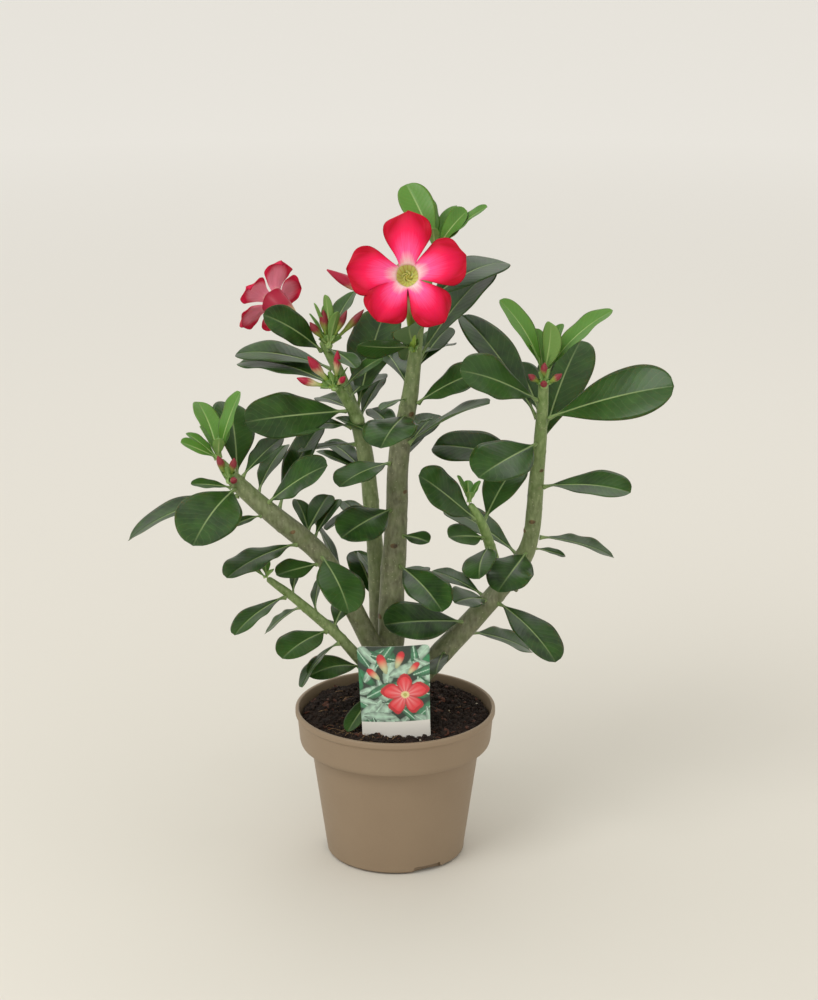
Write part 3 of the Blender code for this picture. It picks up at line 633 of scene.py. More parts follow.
def bladeMesh(name, mids, sides, ups, width, seed, tone, curl=0.0):
    # lofts a leaf: mids, sides and ups are given at even shares from stalk to tip
    chance = np.random.default_rng(seed)
    rows, columns = blade["stations"], blade["columns"]
    share = np.linspace(0, 1, rows)
    share = share * 0.7 + 0.3 * (1 - np.cos(pi * share)) / 2
    given = np.linspace(0, 1, len(mids))
    mid, side, up = (np.stack([np.interp(share, given, np.asarray(a)[:, k]) for k in range(3)], axis=1)
                     for a in (mids, sides, ups))
    length = np.linalg.norm(np.diff(mid, axis=0), axis=1).sum()
    stalk = min(blade["stalk"], 0.09 * width)
    t = np.clip((share - 0.05) / 0.95, 0, 1)
    widest = blade["widest"] + chance.uniform(-0.04, 0.04)
    swell = np.where(t < widest, np.sin(pi / 2 * np.clip(t / widest, 0, 1)) ** blade["taper"],
                     np.sqrt(1 - np.clip((t - widest) / (1 - widest), 0, 1) ** blade["bluntness"]))
    swell = width / 2 * swell
    stem = stalk * (1 - 0.35 * share) * np.sqrt(np.clip((1 - share) / 0.06, 0, 1))
    half = (swell ** 4 + stem ** 4) ** 0.25
    twist = radians(chance.uniform(-12, 12)) * (share - 0.4)
    cosine, sine = np.cos(twist)[:, None], np.sin(twist)[:, None]
    side, up = side * cosine + up * sine, up * cosine - side * sine
    bow = chance.uniform(-0.02, 0.02) * length * np.sin(pi * share)
    mid = mid + side * bow[:, None]
    s = np.linspace(-1, 1, columns)
    v = s * (0.5 + 0.5 * abs(s))
    top, low = np.zeros((rows, columns, 3)), np.zeros((rows, columns, 3))
    phase, beat = chance.uniform(0, tau, 2), chance.uniform(1.6, 3.0, 2)
    amount = blade["wave"] * chance.uniform(0.5, 1.6)
    for i in range(rows):
        across = v * half[i]
        lift = blade["fold"] * half[i] * abs(v) ** 1.4
        lift = lift - curl * half[i] * abs(v) ** 3
        right, left = np.sin(tau * beat * share[i] + phase)
        waves = np.where(v > 0, right, left)
        lift = lift + amount * half[i] * v ** 2 * waves
        quilt = 0.05 * mm * np.sin(tau * (share[i] * 15 - abs(v) * 2.6)) * (1 - abs(v)) * min(1, half[i] / (8 * mm))
        groove = 0.3 * mm * np.exp(-((across / (0.9 * mm)) ** 2)) * min(1, half[i] / (5 * mm))
        thick = blade["thickness"] + 2.0 * stalk * max(0, 1 - share[i] / 0.14) ** 1.5
        belly = thick * np.sqrt(np.clip(1 - v ** 2, 0, 1))
        rib = blade["ribDepth"] * np.exp(-((across / (0.8 * mm)) ** 2)) * (1 - 0.85 * share[i])
        rib = rib * min(1, half[i] / (5 * mm))
        crown = 0.35 * belly if share[i] < 0.14 else 0.0
        top[i] = mid[i] + side[i] * across[:, None] + up[i] * (lift + quilt - groove + crown)[:, None]
        low[i] = mid[i] + side[i] * across[:, None] + up[i] * (lift + quilt - belly * 0.9 - rib)[:, None]
    return sheetMesh(name, top, low, share, (v + 1) / 2, {"tone": np.full(rows, tone), "half": half})


leafPoints = 25  # points on a leaf's middle line


def measureLeaf(node):
    # the line, side and upward directions and greatest width of a CAD leaf
    points, triangles = welded(node)
    edges = edgesOf(triangles)
    a = points[np.argmax(np.linalg.norm(points - points.mean(axis=0), axis=1))]
    b = points[np.argmax(np.linalg.norm(points - a, axis=1))]

    def widest(share):
        found = cutPoints(points, edges, a + (b - a) * share, unit(b - a))
        gaps = np.linalg.norm(found[:, None] - found[None], axis=2)
        i, j = np.unravel_index(np.argmax(gaps), gaps.shape)
        return found, found[i], found[j], gaps[i, j]

    if widest(0.1)[3] > widest(0.9)[3]:
        a, b = b, a
    shares = np.linspace(0.24, 0.93, 12)
    centres, sides, widths, last = [], [], [], None
    for share in shares:
        found, left, right, width = widest(share)
        across = unit(right - left)
        if last is not None and across @ last < 0:
            across = -across
        last = across
        sides.append(across)
        widths.append(width)
        centres.append(((left + right) / 2, found.mean(axis=0)))
    lifts = sum((edge - middle) * w for (edge, middle), w in zip(centres, widths))
    full = np.linspace(0, 1, leafPoints)
    line = np.array([a] + [middle for edge, middle in centres] + [b])
    at = np.concatenate([[0], shares, [1]])
    fits = [np.polyfit(at, line[:, k], 4, w=[6] + [1] * 12 + [6]) for k in range(3)]
    mids = np.stack([np.polyval(f, full) for f in fits], axis=1)
    mids[0], mids[-1] = a, b
    sideFits = [np.polyfit(shares, np.array(sides)[:, k], 1) for k in range(3)]
    sidesFull = np.stack([np.polyval(f, full) for f in sideFits], axis=1)
    along = np.gradient(mids, axis=0)
    upsFull = np.cross(sidesFull, along)
    if upsFull.mean(axis=0) @ lifts < 0:
        upsFull, sidesFull = -upsFull, -sidesFull
    upsFull /= np.linalg.norm(upsFull, axis=1)[:, None]
    sidesFull = np.cross(along, upsFull)
    sidesFull /= np.linalg.norm(sidesFull, axis=1)[:, None]
    return mids, sidesFull, upsFull, max(widths)


def archedLeaf(base, heading, rise, length, width, droop, roll):
    # the line and directions of a leaf that springs from base and arcs over
    along = headed(heading, rise)
    across = unit(np.cross(along, (0, 0, 1)))
    up = np.cross(across, along)
    turn = radians(roll)
    across, up = across * cos(turn) + up * sin(turn), up * cos(turn) - across * sin(turn)
    angle = radians(droop) * (0.5 - np.linspace(0, 1, leafPoints))
    steps = (np.cos(angle)[:, None] * along + np.sin(angle)[:, None] * up) * length / (leafPoints - 1)
    mids = base + np.vstack([np.zeros(3), np.cumsum((steps[:-1] + steps[1:]) / 2, axis=0)])
    ups = np.cos(angle)[:, None] * up - np.sin(angle)[:, None] * along
    return mids, np.tile(across, (leafPoints, 1)), ups, width


def growCadLeaves():
    made = [n for n in sorted(nodes) if "_leaf_" in n]
    for seed, node in enumerate(made):
        mids, sides, ups, width = measureLeaf(node)
        chance = np.random.default_rng(500 + seed)
        tone = chance.uniform(0.0, 0.5)
        mesh = bladeMesh(node + "_blade", mids, sides, ups, width, seed, tone, chance.uniform(-0.02, 0.1))
        piece = addObject(node + "_blade", mesh, matureLeaf)
        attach(piece, "root")
        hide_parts(node)
    print("leaves on the CAD blades:", len(made))


growCadLeaves()

# further leaves: stem, height in mm, heading, rise, length, width, droop, roll, tone
smallLeaves = (
    ("main", 387, -95, 35, 50, 26, 40, -35, 0.5), ("main", 391, -140, 10, 50, 22, 20, 130, 0.6),
    ("main", 361, 115, 20, 60, 28, 20, -15, 0.1), ("main", 302, 70, 15, 55, 26, 20, 20, 0.1),
    ("main", 352, -120, 0, 35, 12, 20, -10, 0.5), ("main", 252, -50, 5, 30, 14, 20, -25, 0.2),
    ("main", 191, 115, 30, 55, 26, 20, -30, 0.0), ("main", 336, -20, 20, 16, 8, 10, 0, 0.9),
    ("second", 330, 65, 30, 45, 18, 15, 20, 0.4), ("second", 339, 125, 0, 40, 20, 20, 5, 0.1),
    ("second", 356, -30, 40, 44, 16, 35, -40, 0.7), ("upper", 385, -55, -10, 38, 17, 25, 0, 0.5),
    ("upper", 386, 60, 40, 50, 22, 15, 25, 0.5), ("second", 315, -150, 0, 48, 16, 15, 0, 0.4),
    ("second", 266, -130, -10, 45, 18, 15, -15, 0.1), ("right", 193, -120, 15, 50, 25, 25, 25, 0.3),
    ("right", 174, 30, -25, 58, 27, 20, -20, 0.2), ("right", 235, 20, -20, 26, 10, 10, -15, 0.4),
    ("right", 366, 55, 50, 40, 14, 10, 25, 0.3), ("right", 194, 140, 10, 50, 20, 20, 5, 0.3),
    ("right", 156, -100, -5, 36, 19, 25, -25, 0.0), ("inner", 255, -130, 15, 42, 21, 20, 40, 0.2),
    ("left", 279, -140, -5, 26, 11, 20, 10, 0.3), ("left", 286, 65, 30, 50, 23, 20, 20, 0.3),
    ("left", 251, 110, 35, 36, 16, 15, -20, 0.5), ("left", 249, 60, 30, 40, 15, 15, 10, 0.4),
    ("left", 211, 130, 50, 60, 20, 20, -35, 0.0), ("left", 238, -140, 0, 38, 19, 20, 30, 0.5),
    ("lowLeft", 210, 145, -40, 42, 15, 15, 30, 0.4), ("lowLeft", 217, 80, 35, 27, 10, 15, 25, 0.5),
    ("lowLeft", 202, 85, 35, 30, 12, 15, 50, 0.4), ("lowLeft", 176, 125, 15, 36, 15, 20, -20, 0.0),
    ("lowLeft", 181, -125, -25, 50, 19, 35, -30, 0.2), ("lowLeft", 159, -135, 8, 54, 25, 40, 20, 0.1),
    ("main", 310, 59, 23, 50, 26, 20, 0, 0.1), ("second", 190, 116, 39, 46, 24, 20, 0, 0.1),
    ("left", 300, 33, 36, 42, 25, 20, 0, 0.2), ("main", 400, 113, -52, 34, 14, 20, 0, 0.3),
    ("main", 202, 60, 11, 40, 20, 20, 0, 0.1), ("second", 290, 131, 19, 44, 20, 20, 0, 0.1),
    ("main", 322, 116, 14, 44, 20, 20, 0, 0.1), ("right", 204, 123, 2, 40, 18, 20, 0, 0.1),
    ("left", 253, 69, 23, 44, 18, 20, 0, 0.2), ("main", 383, 60, -1, 46, 24, 20, 0, 0.1),
    ("second", 346, 62, 9, 46, 26, 20, 0, 0.3), ("lowLeft", 188, 72, 17, 40, 18, 20, 0, 0.2),
    ("lowLeft", 137, -128, -32, 42, 16, 10, 0, 0.2),
    ("left", 300, -165, 10, 30, 12, 20, 20, 0.6), ("second", 290, 150, 15, 40, 17, 15, 0, 0.1),
    ("main", 318, 160, 20, 46, 20, 15, 0, 0.2), ("right", 340, 110, 30, 55, 24, 20, 10, 0.3),
    ("main", 372, 60, 25, 52, 24, 20, 0, 0.3), ("second", 240, 120, 20, 44, 19, 20, 0, 0.1),
)


def growSmallLeaves():
    for number, (stem, z, heading, rise, length, width, droop, roll, tone) in enumerate(smallLeaves, 1):
        base = besideStem(routes[stem], z * mm, heading, rise, -0.4 * mm)
        mids, sides, ups, wide = archedLeaf(base, heading, rise, length * mm, width * mm, droop, roll)
        name = f"small_leaf_{number:02d}"
        piece = addObject(name, bladeMesh(name, mids, sides, ups, wide, 900 + number, tone), matureLeaf)
        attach(piece, "root")
    print("small leaves:", len(smallLeaves))


growSmallLeaves()

# young leaves at each tip: heading, rise, length, width, droop, roll
tipLeaves = {
    "main_stem": ("main", (
        (140, 58, 52, 24, 40, 42), (110, 50, 48, 20, 20, -30), (60, 45, 38, 17, 15, 20), (-35, 50, 40, 20, 15, -60),
        (-35, 40, 56, 14, 25, -40), (50, 25, 38, 17, 15, 10), (-100, 55, 22, 9, 10, 0), (170, 60, 26, 10, 10, 0))),
    "right_branch": ("right", (
        (180, 60, 64, 22, 35, 35), (0, 45, 68, 24, 35, -20), (-75, 70, 44, 19, 15, 60), (55, 55, 40, 16, 15, 25),
        (-150, 65, 26, 11, 10, 20), (-20, 70, 30, 12, 10, -20), (110, 62, 34, 14, 10, 0))),
    "left_branch": ("left", (
        (115, 40, 50, 20, 25, -10), (-25, 70, 54, 19, 15, -55), (-145, 30, 34, 13, 15, 35), (150, 30, 30, 13, 15, 0),
        (-80, 60, 20, 9, 10, 0), (60, 60, 24, 10, 10, 0), (175, 62, 26, 11, 10, 0))),
    "low_left_branch": ("lowLeft", ((100, 35, 17, 8, 15, 0), (-140, 40, 17, 8, 15, 30), (170, 30, 18, 8, 15, 0),
                                    (-60, 45, 12, 6, 10, 0))),
    "inner_shoot": ("inner", ((160, 65, 21, 9, 10, 0), (30, 60, 17, 8, 10, 0), (95, 50, 17, 8, 10, 0),
                              (-90, 50, 14, 7, 10, 0))),
}


def growTips():
    for cadStem, (stem, leaves) in tipLeaves.items():
        points, radii = routes[stem]
        end, direction = points[-1], unit(points[-1] - points[-4])
        for number, (heading, rise, length, width, droop, roll) in enumerate(leaves):
            base = end + direction * radii[-1] * 0.8 + headed(heading, rise) * radii[-1] * 0.35
            mids, sides, ups, wide = archedLeaf(base, heading, rise, length * mm, width * mm, droop, roll)
            name = f"{cadStem}_young_leaf_{number + 1}"
            mesh = bladeMesh(name, mids, sides, ups, wide, 1300 + number, 0.9 - 0.12 * (number % 5), -0.02)
            piece = addObject(name, mesh, youngLeaf)
            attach(piece, "root")
            if number == 0:
                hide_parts(cadStem + "_tip_leaves")
    print("young leaves grown at", len(tipLeaves), "tips")


growTips()


def mergedMesh(name, meshes):
    work = bmesh.new()
    for mesh in meshes:
        work.from_mesh(mesh)
        bpy.data.meshes.remove(mesh)
    mesh = bpy.data.meshes.new(name)
    work.to_mesh(mesh)
    work.free()
    return mesh


def tubeMesh(name, points, radii, sides=16, ripple=None):
    # a closed tube along a route, rounded at both ends; ripple(share, angle) swells the radius
    points, radii = np.asarray(points), np.asarray(radii)
    along, side, other = frames(points)
    rows = len(points)
    verts, uvs = [], []
    for i in range(rows):
        share = i / (rows - 1)
        for k in range(sides):
            a = tau * k / sides
            r = radii[i] * (1 + (ripple(share, a) if ripple else 0))
            verts.append(points[i] + (side[i] * cos(a) + other[i] * sin(a)) * r)
            uvs.append((share, k / sides))
    faces = ringFaces(rows, sides)
    for row, tip in ((0, points[0] - along[0] * radii[0] * 0.4), (rows - 1, points[-1] + along[-1] * radii[-1] * 0.4)):
        verts.append(tip)
        uvs.append((0.0 if row == 0 else 1.0, 0.5))
        for k in range(sides):
            a, b = row * sides + k, row * sides + (k + 1) % sides
            faces.append((b, a, len(verts) - 1) if row == 0 else (a, b, len(verts) - 1))
    return meshOf(name, verts, faces, {"upper": np.ones(len(verts))}, uvs)


def bezier(a, b, c, d, count):
    t = np.linspace(0, 1, count)[:, None]
    return a * (1 - t) ** 3 + 3 * b * t * (1 - t) ** 2 + 3 * c * t ** 2 * (1 - t) + d * t ** 3


pot = {
    "rimRadius": 75 * mm, "height": 115 * mm, "footRadius": 52 * mm, "stepRadius": 63.5 * mm, "collar": 27 * mm,
    "sides": 180,
    "notches": 3, "notchTurn": -62, "notchWidth": 25 * mm, "notchHeight": 5 * mm,
    "drains": 6, "drainRing": 30 * mm, "drainTurn": 20, "drainRadius": 4 * mm,
}


def roundedProfile(corners):
    # corners are (radius, height, rounding) in mm: each corner is eased with short chords
    out = []
    for i, (*_, ease) in enumerate(corners):
        here, back, ahead = (np.array(corners[j % len(corners)][:2], float) for j in (i, i - 1, i + 1))
        start, end = here + unit(back - here) * ease, here + unit(ahead - here) * ease
        for t in (np.linspace(0, 1, 5) if ease else [0.0]):
            out.append((start * (1 - t) ** 2 + here * 2 * t * (1 - t) + end * t ** 2) * mm)
    return out


def turnedMesh(name, profile, sides):
    # a ring-shaped body turned from a closed profile of (radius, height) points
    n = len(profile)
    verts = [(r * cos(tau * k / sides), r * sin(tau * k / sides), z) for k in range(sides) for r, z in profile]
    faces = []
    for k in range(sides):
        for i in range(n):
            a, b, ahead = k * n + i, k * n + (i + 1) % n, ((k + 1) % sides) * n
            faces.append((a, ahead + i, ahead + (i + 1) % n, b))
    return meshOf(name, verts, faces)


def blockMesh(name, corners):
    # a six-sided block from four lower and four upper corners
    sides = [(i, (i + 1) % 4, 4 + (i + 1) % 4, 4 + i) for i in range(4)]
    return meshOf(name, corners, [(3, 2, 1, 0), (4, 5, 6, 7)] + sides)


def buildPot():
    rim, height, foot = pot["rimRadius"] / mm, pot["height"] / mm, pot["footRadius"] / mm
    step, waist = height - pot["collar"] / mm, pot["stepRadius"] / mm
    profile = roundedProfile((
        (4, 0, 0), (foot - 7, 0, 0.5), (foot - 5.5, 1.0, 0.5), (foot - 3.2, 0, 0.8), (foot, 1.6, 1.2),
        (foot + 0.2, 5, 0.5), (waist - 0.3, step - 3.2, 1.5), (waist + 0.9, step - 1.6, 0.8),
        (70.9, step - 0.4, 1.0), (71.8, step + 2.6, 1.2),
        (73.5, height - 5.6, 0.8), (rim, height - 4.4, 0.8), (rim, height - 0.2, 1.1), (rim - 2.6, height, 1.0),
        (72.0, height - 2.6, 0.8), (70.4, step + 3, 0.8), (waist - 1.6, step - 1, 1.0), (foot - 1.2, 5, 1.0),
        (foot - 5, 2, 1.0), (4, 2, 0)))
    shell = addObject("pot_shell", turnedMesh("pot_shell", profile, pot["sides"]), potPlastic)
    cutters = []
    for k in range(pot["notches"]):
        turn = radians(pot["notchTurn"] + 360 * k / pot["notches"])
        half, low, high = pot["notchWidth"] / 2, pot["footRadius"] - 4.6 * mm, pot["footRadius"] + 4 * mm
        flat = [(low, -half), (low, half), (high, half), (high, -half)][::-1]
        ends = [(x, y * share, z) for share, z in ((1, -1 * mm), (0.86, pot["notchHeight"])) for x, y in flat]
        corners = [(x * cos(turn) - y * sin(turn), x * sin(turn) + y * cos(turn), z) for x, y, z in ends]
        cutters.append(addObject(f"notch_{k}", blockMesh(f"notch_{k}", corners)))
    for k in range(pot["drains"]):
        turn = tau * k / pot["drains"] + radians(pot["drainTurn"])
        centre = np.array([cos(turn), sin(turn), 0]) * pot["drainRing"]
        bore = [centre + (0, 1e-6, z) for z in (-1 * mm, 1 * mm, 3 * mm)]
        cutters.append(addObject(f"drain_{k}", tubeMesh(f"drain_{k}", bore, [pot["drainRadius"]] * 3, 32)))
    for cutter in cutters:
        outward(cutter.data)
        cut = shell.modifiers.new(cutter.name, "BOOLEAN")
        cut.operation, cut.object, cut.solver = "DIFFERENCE", cutter, "EXACT"
    mesh = evaluated(shell)
    for old in [shell] + cutters:
        bpy.data.objects.remove(old)
    mesh.materials.clear()
    piece = addObject("nursery_pot", mesh, potPlastic)
    mesh.set_sharp_from_angle(angle=radians(38))
    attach(piece, "root")
    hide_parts("pot")
    print("pot turned,", len(mesh.polygons), "faces")


buildPot()


peatBed = {
    "top": 109.5 * mm, "mound": 3.5 * mm, "reach": 69.8 * mm,
    "lump": 3.2 * mm, "grain": 0.9 * mm, "rings": 74, "spokes": 230,
    "flanks": ((69.2, 94), (61.2, 87.6), (57.4, 60), (50.2, 6), (32, 3)),  # radius and height in mm, inside the pot
    "crumbs": 3400, "chips": 170, "fibres": 150, "perlite": 16,
    "fibreSpot": (-28 * mm, -44 * mm), "fibreSpread": 24 * mm, "fibreReach": 62 * mm,  # where the fibres gather
}


def peatHeight(x, y):
    radius, turn = hypot(x, y), atan2(y, x)
    rise = peatBed["mound"] * (1 - (radius / (70 * mm)) ** 2) * (0.8 + 0.5 * cos(turn - radians(130)))
    lump = noise.noise(Vector((x, y, 0)) * 130) * peatBed["lump"]
    lump += noise.noise(Vector((x, y, 5)) * 400) * peatBed["grain"]
    return peatBed["top"] + rise + lump - 2.0 * mm * (radius / peatBed["reach"]) ** 10


def buildPeat():
    rings, spokes = peatBed["rings"], peatBed["spokes"]
    verts = [(0, 0, peatHeight(0, 0))]
    for i in range(1, rings + 1):
        verts += [(x, y, peatHeight(x, y)) for x, y, _ in level(peatBed["reach"] * i / rings, 0, spokes)]
    for r, z in peatBed["flanks"]:
        verts += level(r * mm, z * mm, spokes)
    verts.append((0, 0, 3 * mm))
    total = rings + len(peatBed["flanks"])
    last = 1 + (total - 1) * spokes
    faces = [(0, 1 + k, 1 + (k + 1) % spokes) for k in range(spokes)] + ringFaces(total, spokes, 1, True)
    faces += [(last + (k + 1) % spokes, last + k, len(verts) - 1) for k in range(spokes)]
    shown = np.array([1.0 if i < 1 + (rings - 3) * spokes else 0.0 for i in range(len(verts))])
    spotX, spotY = peatBed["fibreSpot"]
    front = np.array([(exp(-(hypot(x - spotX, y - spotY) / peatBed["fibreSpread"]) ** 2) + 0.03)
                      * (hypot(x, y) < peatBed["fibreReach"]) for x, y, _ in verts])
    mesh = meshOf("peat_bed", verts, faces, {"top": shown, "front": shown * front})
    piece = addObject("peat_bed", mesh, peat)
    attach(piece, "root")
    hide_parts("soil")
    return piece


def grainShape(name, seed, stretch, rough):
    # a small irregular lump of two dozen faces
    chance = np.random.default_rng(seed)
    work = bmesh.new()
    bmesh.ops.create_cube(work, size=1.0)
    bmesh.ops.subdivide_edges(work, edges=work.edges[:], cuts=1, use_grid_fill=True)
    for v in work.verts:
        v.co = Vector(unit(v.co) * 0.5 * (1 + rough * chance.uniform(-1, 1)) * stretch)
    mesh = bpy.data.meshes.new(name)
    work.to_mesh(mesh)
    work.free()
    return addObject(name, mesh)


def fibreShape(name, seed):
    chance = np.random.default_rng(seed)
    t = np.linspace(-0.5, 0.5, 8)
    bend, hook = chance.uniform(-0.35, 0.35, 2)
    arch = 1 - 4 * t ** 2
    points = np.stack([t, bend * arch + hook * t ** 3, 0.14 * arch * chance.uniform(0.2, 1)], axis=1)
    radii = 0.028 * (1 - 1.2 * abs(t))
    return addObject(name, tubeMesh(name, points, radii, 4))


def scatter(name, ground, shapes, material, density, weight, smallest, largest, seed, tilt):
    # Geometry Nodes: strews small shapes over the ground's upper side
    tree = bpy.data.node_groups.new(name, "GeometryNodeTree")
    face = tree.interface
    face.new_socket("Geometry", in_out="INPUT", socket_type="NodeSocketGeometry")
    sockets = {}
    for key, value in (("Density", density), ("Smallest", smallest), ("Largest", largest), ("Tilt", tilt)):
        sockets[face.new_socket(key, in_out="INPUT", socket_type="NodeSocketFloat").identifier] = value
    face.new_socket("Geometry", in_out="OUTPUT", socket_type="NodeSocketGeometry")
    add = partial(addNode, tree)
    given = tree.nodes.new("NodeGroupInput").outputs
    share = add("GeometryNodeInputNamedAttribute", [weight], data_type="FLOAT")
    dense = add(mathNode, [share, given["Density"]], operation="MULTIPLY")
    spread = tree.nodes.new("GeometryNodeDistributePointsOnFaces")
    tree.links.new(given["Geometry"], spread.inputs["Mesh"])
    tree.links.new(dense, spread.inputs["Density"])
    spread.inputs["Seed"].default_value = seed
    joined = tree.nodes.new("GeometryNodeJoinGeometry")
    for shape in shapes:
        kept = add("GeometryNodeObjectInfo", {"Object": shape, "As Instance": True}, "Geometry")
        tree.links.new(kept, joined.inputs[0])
    pick = add("FunctionNodeRandomValue", {"Min": 0, "Max": len(shapes) - 1, "Seed": seed + 1}, 2, data_type="INT")
    size = add("FunctionNodeRandomValue", {2: given["Smallest"], 3: given["Largest"], "Seed": seed + 2}, 1,
               data_type="FLOAT")
    spin = add("FunctionNodeRandomValue", {0: (0, 0, 0), 1: (1, 1, tau), "Seed": seed + 3}, data_type="FLOAT_VECTOR")
    lean = add("ShaderNodeCombineXYZ", [given["Tilt"], given["Tilt"], 1.0])
    turn = add(vectorNode, [spin, lean], operation="MULTIPLY")
    placed = add("GeometryNodeInstanceOnPoints", {
        "Points": spread.outputs["Points"], "Instance": joined.outputs[0], "Pick Instance": True,
        "Instance Index": pick, "Rotation": turn, "Scale": size}, "Instances")
    solid = add("GeometryNodeRealizeInstances", {"Geometry": placed}, "Geometry")
    painted = add("GeometryNodeSetMaterial", {"Geometry": solid, "Material": material}, "Geometry")
    tree.links.new(painted, tree.nodes.new("NodeGroupOutput").inputs[0])
    carrier = addObject(name + "_carrier", ground.data.copy())
    strewn = carrier.modifiers.new(name, "NODES")
    strewn.node_group = tree
    for key, value in sockets.items():
        strewn[key] = value
    mesh = evaluated(carrier)
    bpy.data.objects.remove(carrier)
    for key in ("top", "front"):
        if key in mesh.attributes:
            mesh.attributes.remove(mesh.attributes[key])
    mesh.materials.clear()
    piece = addObject(name, mesh, material)
    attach(piece, "root")
    print(" ", name, len(mesh.polygons), "faces")


def strewPeat(bed):
    crumbs = [grainShape(f"crumb_{k}", 20 + k, (1, 0.8, 0.65), 0.3) for k in range(4)]
    chips = [grainShape(f"chip_{k}", 30 + k, (1, 0.55, 0.22), 0.3) for k in range(3)]
    beads = [grainShape(f"bead_{k}", 40 + k, (1, 0.9, 0.8), 0.15) for k in range(2)]
    threads = [fibreShape(f"thread_{k}", 50 + k) for k in range(4)]
    area = pi * peatBed["reach"] ** 2
    # density by count over the bed's area, then the smallest and largest grain
    scatter("peat_crumbs", bed, crumbs, peat, peatBed["crumbs"] / area, "top", 1.4 * mm, 5.2 * mm, 3, 3.0)
    scatter("bark_chips", bed, chips, barkChip, peatBed["chips"] / area, "top", 3 * mm, 9 * mm, 5, 0.6)
    scatter("coir_fibres", bed, threads, coirFibre, peatBed["fibres"] / area * 8, "front", 4 * mm, 12 * mm, 7, 0.5)
    scatter("perlite_grains", bed, beads, perliteGrain, peatBed["perlite"] / area, "top", 1.2 * mm, 3.2 * mm, 9, 3.0)
    for shape in crumbs + chips + beads + threads:
        bpy.data.objects.remove(shape)
    print("peat strewn")


strewPeat(buildPeat())


card = {
    "width": 53 * mm, "footWidth": 50 * mm, "top": 180.5 * mm, "bottom": 66 * mm, "bend": 101 * mm,
    "thickness": 0.7 * mm, "bow": 3 * mm, "x": 1.5 * mm, "y": -50 * mm, "lean": 1.0 * mm, "turn": -2,
    "corner": 3.5 * mm, "cell": 0.45 * mm, "pictureFoot": 122 * mm,
    "leafTones": ("#14301F", "#22794A", "#3C7D57", "#A4C2AD"),
    "petalTones": ("#B00A1A", "#E6202F", "#F9A8AA", "#C9CF9C"),
    "paper": "#F1EEE6",
}


def cardPicture():
    # the printed picture as a function of a place on the card: leaves, one open flower and a few buds
    chance = np.random.default_rng(12)
    leaves = [(chance.uniform(-27, 27), chance.uniform(10, 76), chance.uniform(0, pi), chance.uniform(9, 15),
               chance.uniform(2.4, 4.6), int(chance.integers(1, 4))) for _ in range(58)]
    tones = [np.array(linear(c)) for c in card["leafTones"]]
    petalTones = [np.array(linear(c)) for c in card["petalTones"]]
    paper = np.array(linear(card["paper"]))
    buds = ((-8, 66, 1.9, 8, 4.2), (4, 69, 1.2, 7, 3.6), (-15, 58, 2.4, 6, 3.2), (14, 62, 0.8, 6, 3.0))

    def colourAt(x, z):
        # x and z in mm, z measured from the card's bend
        if z < (card["pictureFoot"] - card["bend"]) / mm:
            return paper
        colour = tones[0] * (1.0 + 0.5 * noise.noise(Vector((x * 0.15, z * 0.15, 3))))
        for cx, cz, turn, long, wide, tone in leaves:
            u = (x - cx) * cos(turn) + (z - cz) * sin(turn)
            v = (z - cz) * cos(turn) - (x - cx) * sin(turn)
            body = (u / long) ** 2 + (v / wide) ** 2
            if body < 1:
                cloud = noise.noise(Vector((x * 0.35, z * 0.35, tone)))
                colour = tones[tone] * (0.45 + 0.75 * (1 - body) + 0.5 * cloud)
                if abs(v) < 0.35 and tone > 1:
                    colour = tones[3] * 1.3
        for cx, cz, turn, long, wide in buds:
            u = (x - cx) * cos(turn) + (z - cz) * sin(turn)
            v = (z - cz) * cos(turn) - (x - cx) * sin(turn)
            body = (u / long) ** 2 + (v / wide / (0.75 + 0.25 * u / long)) ** 2
            if body < 1:
                ripe = np.clip(0.5 + u / long, 0, 1)
                colour = (petalTones[1] * ripe + petalTones[3] * (1 - ripe)) * (0.6 + 0.5 * (1 - body))
        dx, dz = x - 7.5, z - 42
        far, turn = hypot(dx, dz * 1.12), atan2(dz, dx)
        lobe = abs(((turn + 0.3) / tau * 5) % 1 - 0.5) * 2
        reach = 17.5 * (1 - 0.5 * lobe ** 2.6) * (1 + 0.05 * sin(9 * turn))
        if far < reach:
            share = far / reach
            pinkness = max(0, 1 - 1.15 * share) * (0.6 + 0.4 * cos(15 * turn))
            colour = petalTones[2] * pinkness + petalTones[1] * (1 - pinkness)
            colour = colour * (1 - 0.35 * lobe ** 4) if share < 0.85 else petalTones[0] * 1.2
            if far < 3:
                colour = np.array(linear("#E6D696" if far > 1.4 else "#B9B45A"))
        return colour

    return colourAt


